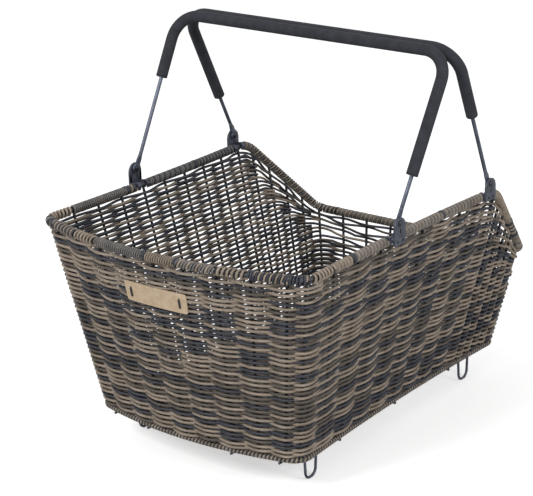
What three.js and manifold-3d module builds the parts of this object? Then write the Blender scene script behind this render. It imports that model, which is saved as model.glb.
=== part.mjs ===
// Bicycle basket: a woven basket with a low rear end, two folding bail handles and wire loops underneath.
// Sizes are in millimetres. The basket is built with its base ring at z = 0 and its front rim corners at
// y = 0, and the last lines move it so that the origin lies under the middle of its box.
import * as THREE from "three";
import { mergeVertices } from "three/addons/utils/BufferGeometryUtils.js";
import Module from "manifold-3d";

// Clearances
const SEAT_GAP = 0.3; // between two pieces that touch on the real basket
const PIVOT_GAP = 0.15; // round a rivet in a handle eye, on the radius

// Facets of round and bent shapes
const CHORD_ERROR = 0.3; // furthest that a bowed wire runs from its chords
const BEND_STEPS = 4; // chords in a bend of the rim or of the base ring
const RIM_SIDES = 8;
const RING_SIDES = 6;
const STAKE_SIDES = 6;
const WIRE_SIDES = 8; // of the wires and loops under the floor
const WALL_STEPS = 4; // points along each bay of a wall
const WRAP_STEPS = 5; // flats on the round of a wrap
const BINDING_STEPS = 12; // sections in a loop
const BINDING_SIDES = 5;
const LOOP_BEND_STEPS = 6;
const HANDLE_BEND_STEPS = 6;
const HANDLE_SIDES = 8;
const GRIP_SIDES = 10;
const ROUND_SIDES = 12; // eyes, rivets and the tops of brackets
const SMALL_SIDES = 6; // slots and holes under 3 mm
const PATCH_STEPS = 10;
const CORD_SIDES = 6;
const CORD_BEND_STEPS = 3;

// Rim wire: level along the front and the sides, then falling to a lower rear end
const RIM_WIRE_D = 5;
const RIM_HEIGHT = 200.7; // rim centre line above the base ring's
const RIM_FRONT_HALF = 162.2;
const RIM_SHOULDER_HALF = 161.8;
const RIM_REAR_HALF = 135.6;
const RIM_SHOULDER_Y = 325.2;
const RIM_REAR_Y = 424.4;
const RIM_DROP = 97.5; // how far the rear rim lies under the side rims
const RIM_FRONT_BOW = 25.9; // the front rim bows out
const RIM_SIDE_BOW = 4.2; // the sides are drawn in
const RIM_CORNER_TRIM = 14; // straight length that a bend takes off each of its two sides
const RIM_SHOULDER_TRIM = 13;
const RIM_REAR_TRIM = 12;

// Base ring
const RING_WIRE_D = 3.5;
const RING_FRONT_Y = 32;
const RING_REAR_Y = 404.8;
const RING_FRONT_HALF = 127.4;
const RING_REAR_HALF = 115.9;
const RING_FRONT_BOW = 16.5;
const RING_SIDE_BOW = 5.4;
const RING_TRIM = 14;

// Stakes: upright wires from the base ring to the rim
const STAKE_D = 3;
const FRONT_STAKE_COUNT = 9; // between the corner stakes
const REAR_BAYS = 8;
const LEVEL_BAYS = 9; // bays of a side wall before the slope
const RIGHT_SLOPE_BAYS = 6;
const LEFT_SLOPE_BAYS = 5;
const RIGHT_LEVEL_SHARE = 0.76; // share of a side wall's length that its level bays take
const LEFT_LEVEL_SHARE = 0.72;
const RIGHT_BAY_EASE = 0.05; // how far the front bays of a side are widened at the rear ones' cost
const LEFT_BAY_EASE = 0.015;

// Woven walls: strands pass in and out of the stakes, so a wall is thick at a stake and thin between two
const STRAND_D = 2.4;
const WALL_MID_HALF = 1.5; // half the wall's thickness halfway between two stakes
const WALL_TOP_GAP = 8.5; // from the rim's centre line down to the woven rows
const WALL_SEAM = 0.012; // of a bay, from a seam between two walls to the end of each
const FLOOR_THICKNESS = 5;

// Wraps: strand wound closely round the rim and round the base ring, with a slot where the stakes come in
const RIM_WRAP_D = 10;
const RIM_WRAP_GAP = 0.4; // from the wire to the inside of its wrap
const RIM_WRAP_SLOT = 4.8;
const RING_WRAP_D = 5.5;
const RING_WRAP_GAP = 0.35;
const RING_WRAP_SLOT = 4;
const WRAP_LEAN = 0.17; // radians from upright at which the stakes come in
const WRAP_END_GAP = 0.6; // between a wrap and the bracket or binding that follows it

// Open bindings: single loops of strand that stand out on the rim near its front corners
const BINDING_LOOPS = 6;
const BINDING_PITCH = 4.9;
const BINDING_START = -1.4; // angle of the strand's ends round the rim, from the inside
const FRONT_BINDING_BAY = 2; // bays between the corner and a front binding

// Wires under the floor
const BASE_WIRE_D = 2.8;
const CROSS_WIRE_COUNT = 3;
const CROSS_WIRE_PITCH = 105.5;
const CROSS_WIRE_SHIFT = 10.1; // from the middle of the base towards the front
const LONG_WIRE_X = 53;
const RAIL_FRONT_X = 105;
const RAIL_REAR_X = 95;
const WIRE_END = 1; // how far the wires under the floor run past the base ring's centre line
const STEP_START = 8; // the long wires and rails step down under the cross wires this far from their ends
const STEP_END = 16;

// Wire loops under the base: strap loops that the basket also stands on
const LOOP_WIRE_D = 2.8;
const LOOP_DEPTH = 37; // loop's lowest centre line under the base ring's
const LOOP_BEND_R = 7.5;
const LOOP_HALF = 10.5; // half the distance of its legs at the top
const LOOP_FOOT_HALF = 8.2; // and at the bottom, before the bends
const LOOP_TOP = 4.6; // ends of its legs, under the base ring's centre line
const LOOP_FRONT_Y = 73.5;
const LOOP_REAR_Y = 368;

// Bail handles: bent wire with flattened eyes, hinged on rivets in the brackets
const HANDLE_WIRE_D = 4;
const PIVOT_OUT = 3.14; // from the rim's centre line at its wider pair of pivots out to the pivots
const HANDLE_SPREAD = 4.4; // the raised bars' corners lie outside the pivots
const HANDLE_BEND = 27;
const FRONT_PIVOT_Y = 141.3;
const FRONT_PIVOT_RISE = 17.2; // from the rim's centre line up to the hinge axis
const REAR_PIVOT_Y = 307.3;
const REAR_PIVOT_RISE = 13.8;
const BARS_RISE = 166.1; // from the rim's centre line up to the raised bars'
const BARS_MEET_Y = 230.6; // the two bars rest against each other here
const BAR_GAP = 0.6;
const EYE_R = 5.2;
const EYE_THICKNESS = 2.2;
const EYE_WIDTH = 8; // of the flattened wire above the eye
const EYE_FLAT = 11; // from the hinge axis, flat up to here
const EYE_NECK = 16; // and round again from here

// Foam sleeves
const GRIP_D = 12;
const GRIP_LENGTH = 505;
const FRONT_GRIP_SLIDE = 26.4; // how far a sleeve sits off the bar's middle, towards +X
const REAR_GRIP_SLIDE = -16.5;

// Handle brackets: steel plates outside the rim, hooked over the bare rim wire by two clips
const PLATE_THICKNESS = 2;
const PLATE_WIDTH = 18.5;
const PLATE_TOP = 6; // above the hinge axis
const PLATE_BOTTOM = 3.7; // under the rim's centre line
const CLIP_WIDTH = 4.5;
const CLIP_THICKNESS = 2;
const CLIP_GAP = 0.5; // from the rim wire to the inside of a clip
const WEB_RISE = 3; // upper and lower faces of a clip's web, from the rim's centre line
const WEB_DROP = 1;
const PLATE_SLOT = 5; // length of the slot under the rivet
const PLATE_SLOT_D = 2.2;
const PLATE_HOLE_D = 2.4;
const PLATE_HOLE_X = 4.2; // small holes near the plate's lower edge
const PLATE_HOLE_RISE = 3.5;

// Rivets
const RIVET_D = 4;
const RIVET_HEAD_D = 7.2;
const RIVET_HEAD = 1.4;
const RIVET_TAIL_D = 6.4;
const RIVET_CHAMFER = 1;

// Leather patch on the front wall, sewn on by one stitch of cord near each end
const PATCH_HEIGHT = 21;
const PATCH_THICKNESS = 1.8;
const PATCH_DROP = 41.2; // from the rim's centre line down to its middle
const PATCH_END = 8; // from a stitch to the patch's end
const STITCH_BAYS = 0.83; // from the middle stake to a stitch, in bays
const STITCH_LENGTH = 9.5;
const CORD_D = 2;
const CORD_BEND = 1.5;
const CORD_TAIL = 3; // how far a stitch's ends stand out behind the wall

// Colours and finishes
const FINISHES = {
  blackSteel: { color: 0x2e3138, roughness: 0.45, metalness: 0.3 },
  wireSteel: { color: 0x4a4e58, roughness: 0.4, metalness: 0.6 },
  darkStrand: { color: 0x34343a, roughness: 0.6, metalness: 0 },
  lightStrand: { color: 0xa39682, roughness: 0.65, metalness: 0 },
  weave: { color: 0x6b6358, roughness: 0.65, metalness: 0 },
  foam: { color: 0x34373e, roughness: 0.9, metalness: 0 },
  leather: { color: 0xc2a27e, roughness: 0.75, metalness: 0 },
};

const UP = new THREE.Vector3(0, 0, 1);
const ACROSS = new THREE.Vector3(1, 0, 0);
const at = (x, y, z) => new THREE.Vector3(x, y, z);
const mix = (a, b, t) => a.clone().lerp(b, t);

const wasm = await Module();
wasm.setup();
const basket = new THREE.Group();

// Names a solid, gives it its finish and hangs it in a group
function place(name, geometry, finish, parent = basket) {
  geometry.computeVertexNormals();
  const mesh = new THREE.Mesh(geometry, new THREE.MeshStandardMaterial(FINISHES[finish]));
  mesh.name = name;
  parent.add(mesh);
  return mesh;
}

// A closed geometry as a solid that can be joined and cut
function solidOf(geometry) {
  const bare = geometry.clone();
  bare.deleteAttribute("normal");
  bare.deleteAttribute("uv");
  const merged = mergeVertices(bare, 1e-4);
  const vertProperties = new Float32Array(merged.attributes.position.array);
  const triVerts = new Uint32Array(merged.index.array);
  return new wasm.Manifold(new wasm.Mesh({ numProp: 3, vertProperties, triVerts }));
}

// A joined or cut solid as a geometry
function geometryOf(solid) {
  const mesh = solid.getMesh();
  const geometry = new THREE.BufferGeometry();
  geometry.setAttribute("position", new THREE.BufferAttribute(mesh.vertProperties, 3));
  geometry.setIndex(new THREE.BufferAttribute(mesh.triVerts, 1));
  return geometry;
}

// Joins geometries into one, then cuts the others out of it
function joined(parts, cuts = []) {
  const whole = parts.map(solidOf).reduce((a, b) => a.add(b));
  return geometryOf(cuts.map(solidOf).reduce((a, b) => a.subtract(b), whole));
}

// A round section, its points running counter-clockwise
function circle(radius, sides, turn = 0) {
  const point = (_, i) => {
    const angle = turn + (i / sides) * 2 * Math.PI;
    return new THREE.Vector2(radius * Math.cos(angle), radius * Math.sin(angle));
  };
  return Array.from({ length: sides }, point);
}

// The end face of a loft as triangles that run counter-clockwise in the plan
function endFace({ outline, holes }) {
  const flat = [outline, ...holes].flat();
  const faces = THREE.ShapeUtils.triangulateShape([...outline], holes.map((hole) => [...hole]));
  return faces.map(([a, b, c]) => {
    const isLeft = flat[b].clone().sub(flat[a]).cross(flat[c].clone().sub(flat[a])) > 0;
    return isLeft ? [a, b, c] : [a, c, b];
  });
}

// A closed solid through rings of points. Each ring holds the outline's points and then each hole's, and
// the plans hold the first and last ring's points in two dimensions, from which the end faces are made.
function loft(rings, firstPlan, closed = false, lastPlan = firstPlan) {
  const count = rings[0].length;
  const index = [];
  for (let i = 0; i < rings.length - (closed ? 0 : 1); i++) {
    const low = i * count;
    const high = ((i + 1) % rings.length) * count;
    let start = 0;
    for (const loop of [firstPlan.outline, ...firstPlan.holes]) {
      for (let j = 0; j < loop.length; j++) {
        const p = start + j;
        const q = start + ((j + 1) % loop.length);
        index.push(low + p, low + q, high + q, low + p, high + q, high + p);
      }
      start += loop.length;
    }
  }
  if (!closed) {
    const last = (rings.length - 1) * count;
    for (const [a, b, c] of endFace(firstPlan)) index.push(a, c, b);
    for (const face of endFace(lastPlan)) index.push(...face.map((v) => last + v));
  }
  const geometry = new THREE.BufferGeometry();
  const numbers = rings.flat().flatMap((p) => p.toArray());
  geometry.setAttribute("position", new THREE.Float32BufferAttribute(numbers, 3));
  geometry.setIndex(index);
  return geometry;
}

// The two directions of a section that stands across a line: away to its side, and up from it
function acrossLine(points, i, closed, up) {
  const n = points.length;
  const before = closed ? points[(i + n - 1) % n] : points[Math.max(i - 1, 0)];
  const after = closed ? points[(i + 1) % n] : points[Math.min(i + 1, n - 1)];
  const along = after.clone().sub(before).normalize();
  const side = up.clone().cross(along).normalize();
  return { along, side, top: along.clone().cross(side) };
}

// A section swept along points. up is one direction, or one for each point, and scale gives the section's
// two scales at a point.
function sweep(points, plan, { closed = false, up = UP, scale = () => [1, 1] } = {}) {
  const flat = [plan.outline, ...plan.holes].flat();
  const rings = points.map((p, i) => {
    const { side, top } = acrossLine(points, i, closed, Array.isArray(up) ? up[i] : up);
    const [wide, high] = scale(i);
    return flat.map((v) => p.clone().addScaledVector(side, v.x * wide).addScaledVector(top, v.y * high));
  });
  return loft(rings, plan, closed);
}

const solidRound = (diameter, sides, turn = 0) => ({ outline: circle(diameter / 2, sides, turn), holes: [] });

// A round wire through points, with flats above and below
const wire = (points, diameter, sides, options) =>
  sweep(points, solidRound(diameter, sides, Math.PI / sides), options);

// An open line through corners, each bent round at a radius
function bentLine(corners, radius, steps) {
  const points = [corners[0]];
  for (let i = 1; i < corners.length - 1; i++) {
    const [before, corner, after] = corners.slice(i - 1, i + 2);
    const back = before.clone().sub(corner).normalize();
    const on = after.clone().sub(corner).normalize();
    const turn = Math.PI - back.angleTo(on);
    const trim = radius * Math.tan(turn / 2);
    const reach = trim - (radius * 4 * Math.tan(turn / 4)) / 3;
    const [p, q] = [trim, reach].map((d) => corner.clone().addScaledVector(back, d));
    const [s, r] = [trim, reach].map((d) => corner.clone().addScaledVector(on, d));
    points.push(...new THREE.CubicBezierCurve3(p, q, r, s).getPoints(steps));
  }
  return [...points, corners.at(-1)];
}

const NEAR = 0.5; // a track's points that lie this near to a cut give way to it

// A line of points with its length measured from its start. A closed one runs on past its end.
class Track {
  constructor(points, closed, measure) {
    this.points = points;
    this.closed = closed;
    const ends = closed ? [...points, points[0]] : points;
    this.marks = [0];
    for (let i = 1; i < ends.length; i++) this.marks.push(this.marks[i - 1] + measure(ends[i - 1], ends[i]));
    this.length = this.marks.at(-1);
  }
  point(s) {
    const turn = this.closed ? ((s % this.length) + this.length) % this.length : s;
    let i = 1;
    while (i < this.marks.length - 1 && this.marks[i] < turn) i++;
    const from = this.points[i - 1];
    const to = this.points[i % this.points.length];
    return mix(from, to, (turn - this.marks[i - 1]) / (this.marks[i] - this.marks[i - 1]));
  }
  // The points between two lengths, with both ends
  slice(from, to) {
    const inner = [];
    for (const turn of this.closed ? [-this.length, 0, this.length] : [0]) {
      this.points.forEach((p, i) => {
        const s = this.marks[i] + turn;
        if (s > from + NEAR && s < to - NEAR) inner.push([s, p.clone()]);
      });
    }
    inner.sort((a, b) => a[0] - b[0]);
    return [this.point(from), ...inner.map((v) => v[1]), this.point(to)];
  }
}
const planLength = (a, b) => Math.hypot(b.x - a.x, b.y - a.y);
const fullLength = (a, b) => a.distanceTo(b);

const ROUND_BEND = 0.5523; // makes a cubic curve follow a quarter circle

// A closed wire through corners: each side is bowed by its own amount and each corner is bent round.
// Returns its track, and the length at the middle of each bend.
function roundedWire(corners) {
  const n = corners.length;
  const next = (i) => corners[(i + 1) % n];
  const bowOf = (c) => c.bow ?? at(0, 0, 0);
  const controls = corners.map((c, i) => mix(c.at, next(i).at, 0.5).addScaledVector(bowOf(c), 2));
  const towards = (from, to, length) => from.clone().add(to.clone().sub(from).setLength(length));
  const leave = corners.map((c, i) => towards(c.at, controls[i], c.trim));
  const reach = corners.map((c, i) => towards(c.at, controls[(i + n - 1) % n], c.trim));
  const points = [];
  const middles = [];
  corners.forEach((c, i) => {
    const j = (i + 1) % n;
    const side = new THREE.QuadraticBezierCurve3(leave[i], controls[i], reach[j]);
    const sag = mix(leave[i], reach[j], 0.5).sub(controls[i]).length() / 2;
    const steps = Math.max(1, Math.ceil(Math.sqrt(sag / CHORD_ERROR)));
    points.push(...side.getPoints(steps).slice(0, -1));
    const corner = corners[j].at;
    const handles = [mix(reach[j], corner, ROUND_BEND), mix(leave[j], corner, ROUND_BEND)];
    const bend = new THREE.CubicBezierCurve3(reach[j], ...handles, leave[j]);
    middles[j] = points.length + BEND_STEPS / 2;
    points.push(...bend.getPoints(BEND_STEPS).slice(0, -1));
  });
  const track = new Track(points, true, planLength);
  return { track, middles: middles.map((i) => track.marks[i]) };
}

// The rim, counter-clockwise seen from above, from the front left corner
const rimRearZ = RIM_HEIGHT - RIM_DROP;
const rimLeftBow = at(RIM_SIDE_BOW, 0, 0);
const rimRightBow = at(-RIM_SIDE_BOW, 0, 0);
const rim = roundedWire([
  { at: at(-RIM_FRONT_HALF, 0, RIM_HEIGHT), trim: RIM_CORNER_TRIM, bow: at(0, -RIM_FRONT_BOW, 0) },
  { at: at(RIM_FRONT_HALF, 0, RIM_HEIGHT), trim: RIM_CORNER_TRIM, bow: rimRightBow },
  { at: at(RIM_SHOULDER_HALF, RIM_SHOULDER_Y, RIM_HEIGHT), trim: RIM_SHOULDER_TRIM },
  { at: at(RIM_REAR_HALF, RIM_REAR_Y, rimRearZ), trim: RIM_REAR_TRIM },
  { at: at(-RIM_REAR_HALF, RIM_REAR_Y, rimRearZ), trim: RIM_REAR_TRIM },
  { at: at(-RIM_SHOULDER_HALF, RIM_SHOULDER_Y, RIM_HEIGHT), trim: RIM_SHOULDER_TRIM, bow: rimLeftBow },
]);

// The base ring, in the same order
const ring = roundedWire([
  { at: at(-RING_FRONT_HALF, RING_FRONT_Y, 0), trim: RING_TRIM, bow: at(0, -RING_FRONT_BOW, 0) },
  { at: at(RING_FRONT_HALF, RING_FRONT_Y, 0), trim: RING_TRIM, bow: at(-RING_SIDE_BOW, 0, 0) },
  { at: at(RING_REAR_HALF, RING_REAR_Y, 0), trim: RING_TRIM },
  { at: at(-RING_REAR_HALF, RING_REAR_Y, 0), trim: RING_TRIM, bow: at(RING_SIDE_BOW, 0, 0) },
]);

// Where the stakes of each wall stand, as shares of the wall's length from one corner stake to the next
const evenly = (count, place) => Array.from({ length: count }, (_, i) => place(i));
function sideShares(slopeBays, levelShare, ease) {
  const eased = (t) => t + ease * Math.sin(Math.PI * t);
  const level = evenly(LEVEL_BAYS, (i) => levelShare * eased(i / LEVEL_BAYS));
  const slope = evenly(slopeBays + 1, (i) => levelShare + ((1 - levelShare) * i) / slopeBays);
  return [...level, ...slope];
}
const rightShares = sideShares(RIGHT_SLOPE_BAYS, RIGHT_LEVEL_SHARE, RIGHT_BAY_EASE);
const leftShares = sideShares(LEFT_SLOPE_BAYS, LEFT_LEVEL_SHARE, LEFT_BAY_EASE);
const walls = [
  { name: "front", shares: [0, ...evenly(FRONT_STAKE_COUNT, (i) => (i + 0.5) / FRONT_STAKE_COUNT), 1] },
  { name: "right", shares: rightShares },
  { name: "rear", shares: evenly(REAR_BAYS + 1, (i) => i / REAR_BAYS) },
  { name: "left", shares: leftShares.map((s) => 1 - s).reverse() },
];
const [rimFL, rimFR, , rimRR, rimRL] = rim.middles;
const [ringFL, ringFR, ringRR, ringRL] = ring.middles;
const rimEnds = [rimFL - rim.track.length, rimFR, rimRR, rimRL, rimFL];
const ringEnds = [ringFL - ring.track.length, ringFR, ringRR, ringRL, ringFL];
walls.forEach((wall, i) => {
  wall.bays = wall.shares.length - 1;
  wall.first = i ? walls[i - 1].first + walls[i - 1].bays : 0;
  wall.onRim = (share) => THREE.MathUtils.lerp(rimEnds[i], rimEnds[i + 1], share);
  wall.onRing = (share) => THREE.MathUtils.lerp(ringEnds[i], ringEnds[i + 1], share);
});
const [frontWall, rightWall, rearWall, leftWall] = walls;
const stakeCount = walls.reduce((sum, wall) => sum + wall.bays, 0);

// A place on the walls: u counts stakes round the basket, t runs from the base ring up to the rim
function wallAt(u) {
  const turn = ((u % stakeCount) + stakeCount) % stakeCount;
  const wall = walls.findLast((w) => w.first <= turn);
  const bay = Math.min(Math.floor(turn - wall.first), wall.bays - 1);
  const share = THREE.MathUtils.lerp(wall.shares[bay], wall.shares[bay + 1], turn - wall.first - bay);
  return { low: ring.track.point(wall.onRing(share)), high: rim.track.point(wall.onRim(share)) };
}
function wallPoint(u, t) {
  const { low, high } = wallAt(u);
  return mix(low, high, t);
}
const BESIDE = 0.03; // of a bay, for measuring a wall's direction
function wallFrame(u, t) {
  const along = wallPoint(u + BESIDE, t).sub(wallPoint(u - BESIDE, t)).setZ(0).normalize();
  return { along, out: along.clone().cross(UP) };
}

// Wire frame: rim, base ring and stakes, welded together
function stake(i, diameter) {
  const { low, high } = wallAt(i);
  return sweep([low, high], solidRound(diameter, STAKE_SIDES), { up: wallFrame(i, 0.5).along });
}
const stakes = evenly(stakeCount, (i) => stake(i, STAKE_D));
const rimPlan = solidRound(RIM_WIRE_D, RIM_SIDES, Math.PI / RIM_SIDES);
const rimWire = sweep(rim.track.points, rimPlan, { closed: true });
const ringWire = sweep(ring.track.points, solidRound(RING_WIRE_D, RING_SIDES), { closed: true });
place("wire_frame", joined([rimWire, ringWire, ...stakes]), "blackSteel");

// Woven walls: each is a fan of round-backed ribs, one for each stake, with the stake running inside its rib.
// The seams between walls lie halfway between two stakes.
const HALF_BAY = 0.5;
const wallStakeHalf = STAKE_D / 2 + STRAND_D;
const wallHalf = (u) => THREE.MathUtils.lerp(WALL_MID_HALF, wallStakeHalf, Math.cos(Math.PI * u) ** 2);
const wallFoot = RING_WRAP_D / 2 + SEAT_GAP;
const tunnelD = STAKE_D + (2 * SEAT_GAP) / Math.cos(Math.PI / STAKE_SIDES);
const footShare = (u) => wallFoot / wallAt(u).high.z;
// The woven rows stop at one distance from the rim, which is more when measured upright along the slope
function topShare(u) {
  const [before, after] = [-HALF_BAY, HALF_BAY].map((d) => wallAt(u + d).high);
  const rise = before.distanceTo(after) / planLength(before, after);
  return 1 - (WALL_TOP_GAP * rise) / wallAt(u).high.z;
}
const offWall = (u, t, outward) => wallPoint(u, t).addScaledVector(wallFrame(u, t).out, outward);
function wovenWall(from, to, cuts = []) {
  const us = evenly(Math.round((to - from) * WALL_STEPS) + 1, (i) => from + i / WALL_STEPS);
  us[0] += WALL_SEAM;
  us[us.length - 1] -= WALL_SEAM;
  const outline = (share) => [
    ...us.map((u) => offWall(u, share(u), wallHalf(u))),
    ...us.map((u) => offWall(u, share(u), -wallHalf(u))).reverse(),
  ];
  const levels = [footShare, topShare].map(outline);
  const inPlan = (level) => ({ outline: level.map((p) => new THREE.Vector2(p.x, p.y)), holes: [] });
  const panel = loft(levels, inPlan(levels[0]), false, inPlan(levels[1]));
  const tunnels = evenly(Math.floor(to) - Math.floor(from), (i) => stake(Math.ceil(from) + i, tunnelD));
  return joined([panel], [...tunnels, ...cuts]);
}

// Leather patch: it lies on the front wall's ribs, with two holes near each end for a stitch
const patchShare = 1 - PATCH_DROP / RIM_HEIGHT;
const patchMiddle = FRONT_STAKE_COUNT / 2 + HALF_BAY;
const patchBay = wallPoint(patchMiddle + 1, patchShare).x;
function onPatch(x, rise, outward) {
  const u = patchMiddle + x / patchBay;
  const { low, high } = wallAt(u);
  const up = high.clone().sub(low).normalize();
  const { along, out } = wallFrame(u, patchShare);
  const point = wallPoint(u, patchShare).addScaledVector(out, wallStakeHalf + outward);
  return { point: point.addScaledVector(up, rise), up, along };
}
const stitchX = STITCH_BAYS * patchBay;
const patchHalf = stitchX + PATCH_END;
const patchLine = evenly(PATCH_STEPS + 1, (i) => {
  const x = THREE.MathUtils.lerp(-patchHalf, patchHalf, i / PATCH_STEPS);
  return onPatch(x, 0, 2 * SEAT_GAP + PATCH_THICKNESS / 2);
});
const patchSection = [
  [-1, -1],
  [1, -1],
  [1, 1],
  [-1, 1],
].map(([x, y]) => new THREE.Vector2((x * PATCH_THICKNESS) / 2, (y * PATCH_HEIGHT) / 2));
const patchPoints = patchLine.map((p) => p.point);
const patch = sweep(patchPoints, { outline: patchSection, holes: [] }, { up: patchLine.map((p) => p.up) });

// Stitches: each is a staple of cord over the patch, with both legs through the patch and through the wall
// between two stakes
const stitchFront = 3 * SEAT_GAP + PATCH_THICKNESS + CORD_D / 2;
const stitchBack = -2 * wallStakeHalf - CORD_TAIL;
const stitches = [
  { name: "patch_tie_left", x: -stitchX },
  { name: "patch_tie_right", x: stitchX },
].map(({ name, x }) => {
  const up = onPatch(x, 0, 0).along;
  const leg = (end, outward) => onPatch(x, (end * STITCH_LENGTH) / 2, outward).point;
  const corners = [leg(1, stitchBack), leg(1, stitchFront), leg(-1, stitchFront), leg(-1, stitchBack)];
  const path = bentLine(corners, CORD_BEND, CORD_BEND_STEPS);
  return { name, up, path, legs: [corners.slice(0, 2), corners.slice(2)] };
});
const stitchHoles = stitches.flatMap(({ up, legs }) =>
  legs.map((leg) => wire(leg, CORD_D + 2 * SEAT_GAP, CORD_SIDES, { up })),
);

place("front_weave", wovenWall(-HALF_BAY, frontWall.bays + HALF_BAY, stitchHoles), "weave");
place("right_weave", wovenWall(rightWall.first + HALF_BAY, rearWall.first - HALF_BAY), "weave");
place("rear_weave", wovenWall(rearWall.first - HALF_BAY, leftWall.first + HALF_BAY), "weave");
place("left_weave", wovenWall(leftWall.first + HALF_BAY, stakeCount - HALF_BAY), "weave");
place("leather_patch", joined([patch], stitchHoles), "leather");
for (const { name, up, path } of stitches) place(name, wire(path, CORD_D, CORD_SIDES, { up }), "darkStrand");

// Woven floor: a flat mat inside the base ring
const floorInset = RING_WRAP_D / 2 + SEAT_GAP;
const floorOutline = ring.track.points.map((p, i, all) => {
  const { side } = acrossLine(all, i, true, UP);
  return p.clone().addScaledVector(side, floorInset);
});
const floorPlan = { outline: floorOutline.map((p) => new THREE.Vector2(p.x, p.y)), holes: [] };
const floorFaces = [-FLOOR_THICKNESS / 2, FLOOR_THICKNESS / 2];
const floorLevels = floorFaces.map((z) => floorOutline.map((p) => p.clone().setZ(z)));
place("base_weave", loft(floorLevels, floorPlan), "weave");

// Wraps: a wrap's section is a round sleeve with a slot, which slotAt places as an angle
function wrapPlan(wireD, gap, outerD, slotWidth, slotAt) {
  const arc = (radius) => {
    const half = Math.asin(slotWidth / 2 / radius);
    const point = (i) => {
      const angle = slotAt + half + (2 * (Math.PI - half) * i) / WRAP_STEPS;
      return new THREE.Vector2(radius * Math.cos(angle), radius * Math.sin(angle));
    };
    return evenly(WRAP_STEPS + 1, point);
  };
  return { outline: [...arc(outerD / 2), ...arc(wireD / 2 + gap).reverse()], holes: [] };
}
const slotBelow = WRAP_LEAN - Math.PI / 2;
const slotAbove = WRAP_LEAN + Math.PI / 2;
const rimWrapPlan = wrapPlan(RIM_WIRE_D, RIM_WRAP_GAP, RIM_WRAP_D, RIM_WRAP_SLOT, slotBelow);
const ringWrapPlan = wrapPlan(RING_WIRE_D, RING_WRAP_GAP, RING_WRAP_D, RING_WRAP_SLOT, slotAbove);
place("base_ring_wrap", sweep(ring.track.points, ringWrapPlan, { closed: true }), "lightStrand");

// The length along a track at which it crosses x = value or y = value
function crossing(track, axis, value, isThere) {
  const { points, marks } = track;
  for (let i = 0; i < points.length; i++) {
    const a = points[i];
    const b = points[(i + 1) % points.length];
    if (!isThere(a) || a[axis] === b[axis] || (a[axis] - value) * (b[axis] - value) > 0) continue;
    return THREE.MathUtils.mapLinear(value, a[axis], b[axis], marks[i], marks[i + 1]);
  }
  throw new Error(`no crossing at ${axis} = ${value}`);
}
const onRight = (p) => p.x > 0;
const onLeft = (p) => p.x < 0;
const frontPivot = { y: FRONT_PIVOT_Y, z: RIM_HEIGHT + FRONT_PIVOT_RISE };
const rearPivot = { y: REAR_PIVOT_Y, z: RIM_HEIGHT + REAR_PIVOT_RISE };
const brackets = [
  { name: "front_right", side: 1, ...frontPivot, isThere: onRight },
  { name: "rear_right", side: 1, ...rearPivot, isThere: onRight },
  { name: "rear_left", side: -1, ...rearPivot, isThere: onLeft },
  { name: "front_left", side: -1, ...frontPivot, isThere: onLeft },
];
const bindings = [
  { name: "front_left_binding", bay: FRONT_BINDING_BAY },
  { name: "front_right_binding", bay: frontWall.bays - 1 - FRONT_BINDING_BAY },
  { name: "right_corner_binding", bay: rightWall.first },
  { name: "left_corner_binding", bay: stakeCount - 1 },
];
const bracketBreak = PLATE_WIDTH / 2 + WRAP_END_GAP;
const bindingBreak = (BINDING_LOOPS * BINDING_PITCH + STRAND_D) / 2 + WRAP_END_GAP;
for (const b of brackets) b.at = crossing(rim.track, "y", b.y, b.isThere);
const pivotX = Math.max(...brackets.map((b) => Math.abs(rim.track.point(b.at).x))) + PIVOT_OUT;
for (const b of bindings) {
  const wall = walls.findLast((w) => w.first <= b.bay);
  const [from, to] = [0, 1].map((i) => wall.onRim(wall.shares[b.bay - wall.first + i]));
  b.at = (from + to) / 2;
}
const breaks = [
  ...bindings.map((b) => ({ at: b.at, half: bindingBreak })),
  ...brackets.map((b) => ({ at: b.at, half: bracketBreak })),
].sort((a, b) => a.at - b.at);
const wrapNames = [
  "rim_wrap_front",
  "rim_wrap_front_right_corner",
  "rim_wrap_right_front",
  "rim_wrap_right",
  "rim_wrap_rear",
  "rim_wrap_left",
  "rim_wrap_left_front",
  "rim_wrap_front_left_corner",
];
wrapNames.forEach((name, i) => {
  const from = breaks[i];
  const next = breaks[(i + 1) % breaks.length];
  const to = i + 1 < breaks.length ? next.at : next.at + rim.track.length;
  const points = rim.track.slice(from.at + from.half, to - next.half);
  place(name, sweep(points, rimWrapPlan), "darkStrand");
});

// Open bindings: one strand wound in separate loops round the bare rim wire, its ends running on straight
const bindingR = RIM_WIRE_D / 2 + SEAT_GAP + STRAND_D / 2;
function bindingPath(middle) {
  const count = BINDING_LOOPS * BINDING_STEPS;
  const points = [];
  const radial = [];
  for (let i = 0; i <= count; i++) {
    const turn = i / BINDING_STEPS;
    const s = middle + (turn - BINDING_LOOPS / 2) * BINDING_PITCH;
    const [a, p, b] = [-STRAND_D, 0, STRAND_D].map((d) => rim.track.point(s + d));
    const side = UP.clone().cross(b.sub(a)).normalize();
    const angle = BINDING_START + turn * 2 * Math.PI;
    const out = side.multiplyScalar(Math.cos(angle)).addScaledVector(UP, Math.sin(angle));
    radial.push(out);
    points.push(p.addScaledVector(out, bindingR));
  }
  const tail = (end, inner) => end.clone().add(end.clone().sub(inner).setLength(STRAND_D));
  return {
    points: [tail(points[0], points[1]), ...points, tail(points.at(-1), points.at(-2))],
    up: [radial[0], ...radial, radial.at(-1)],
  };
}
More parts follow.
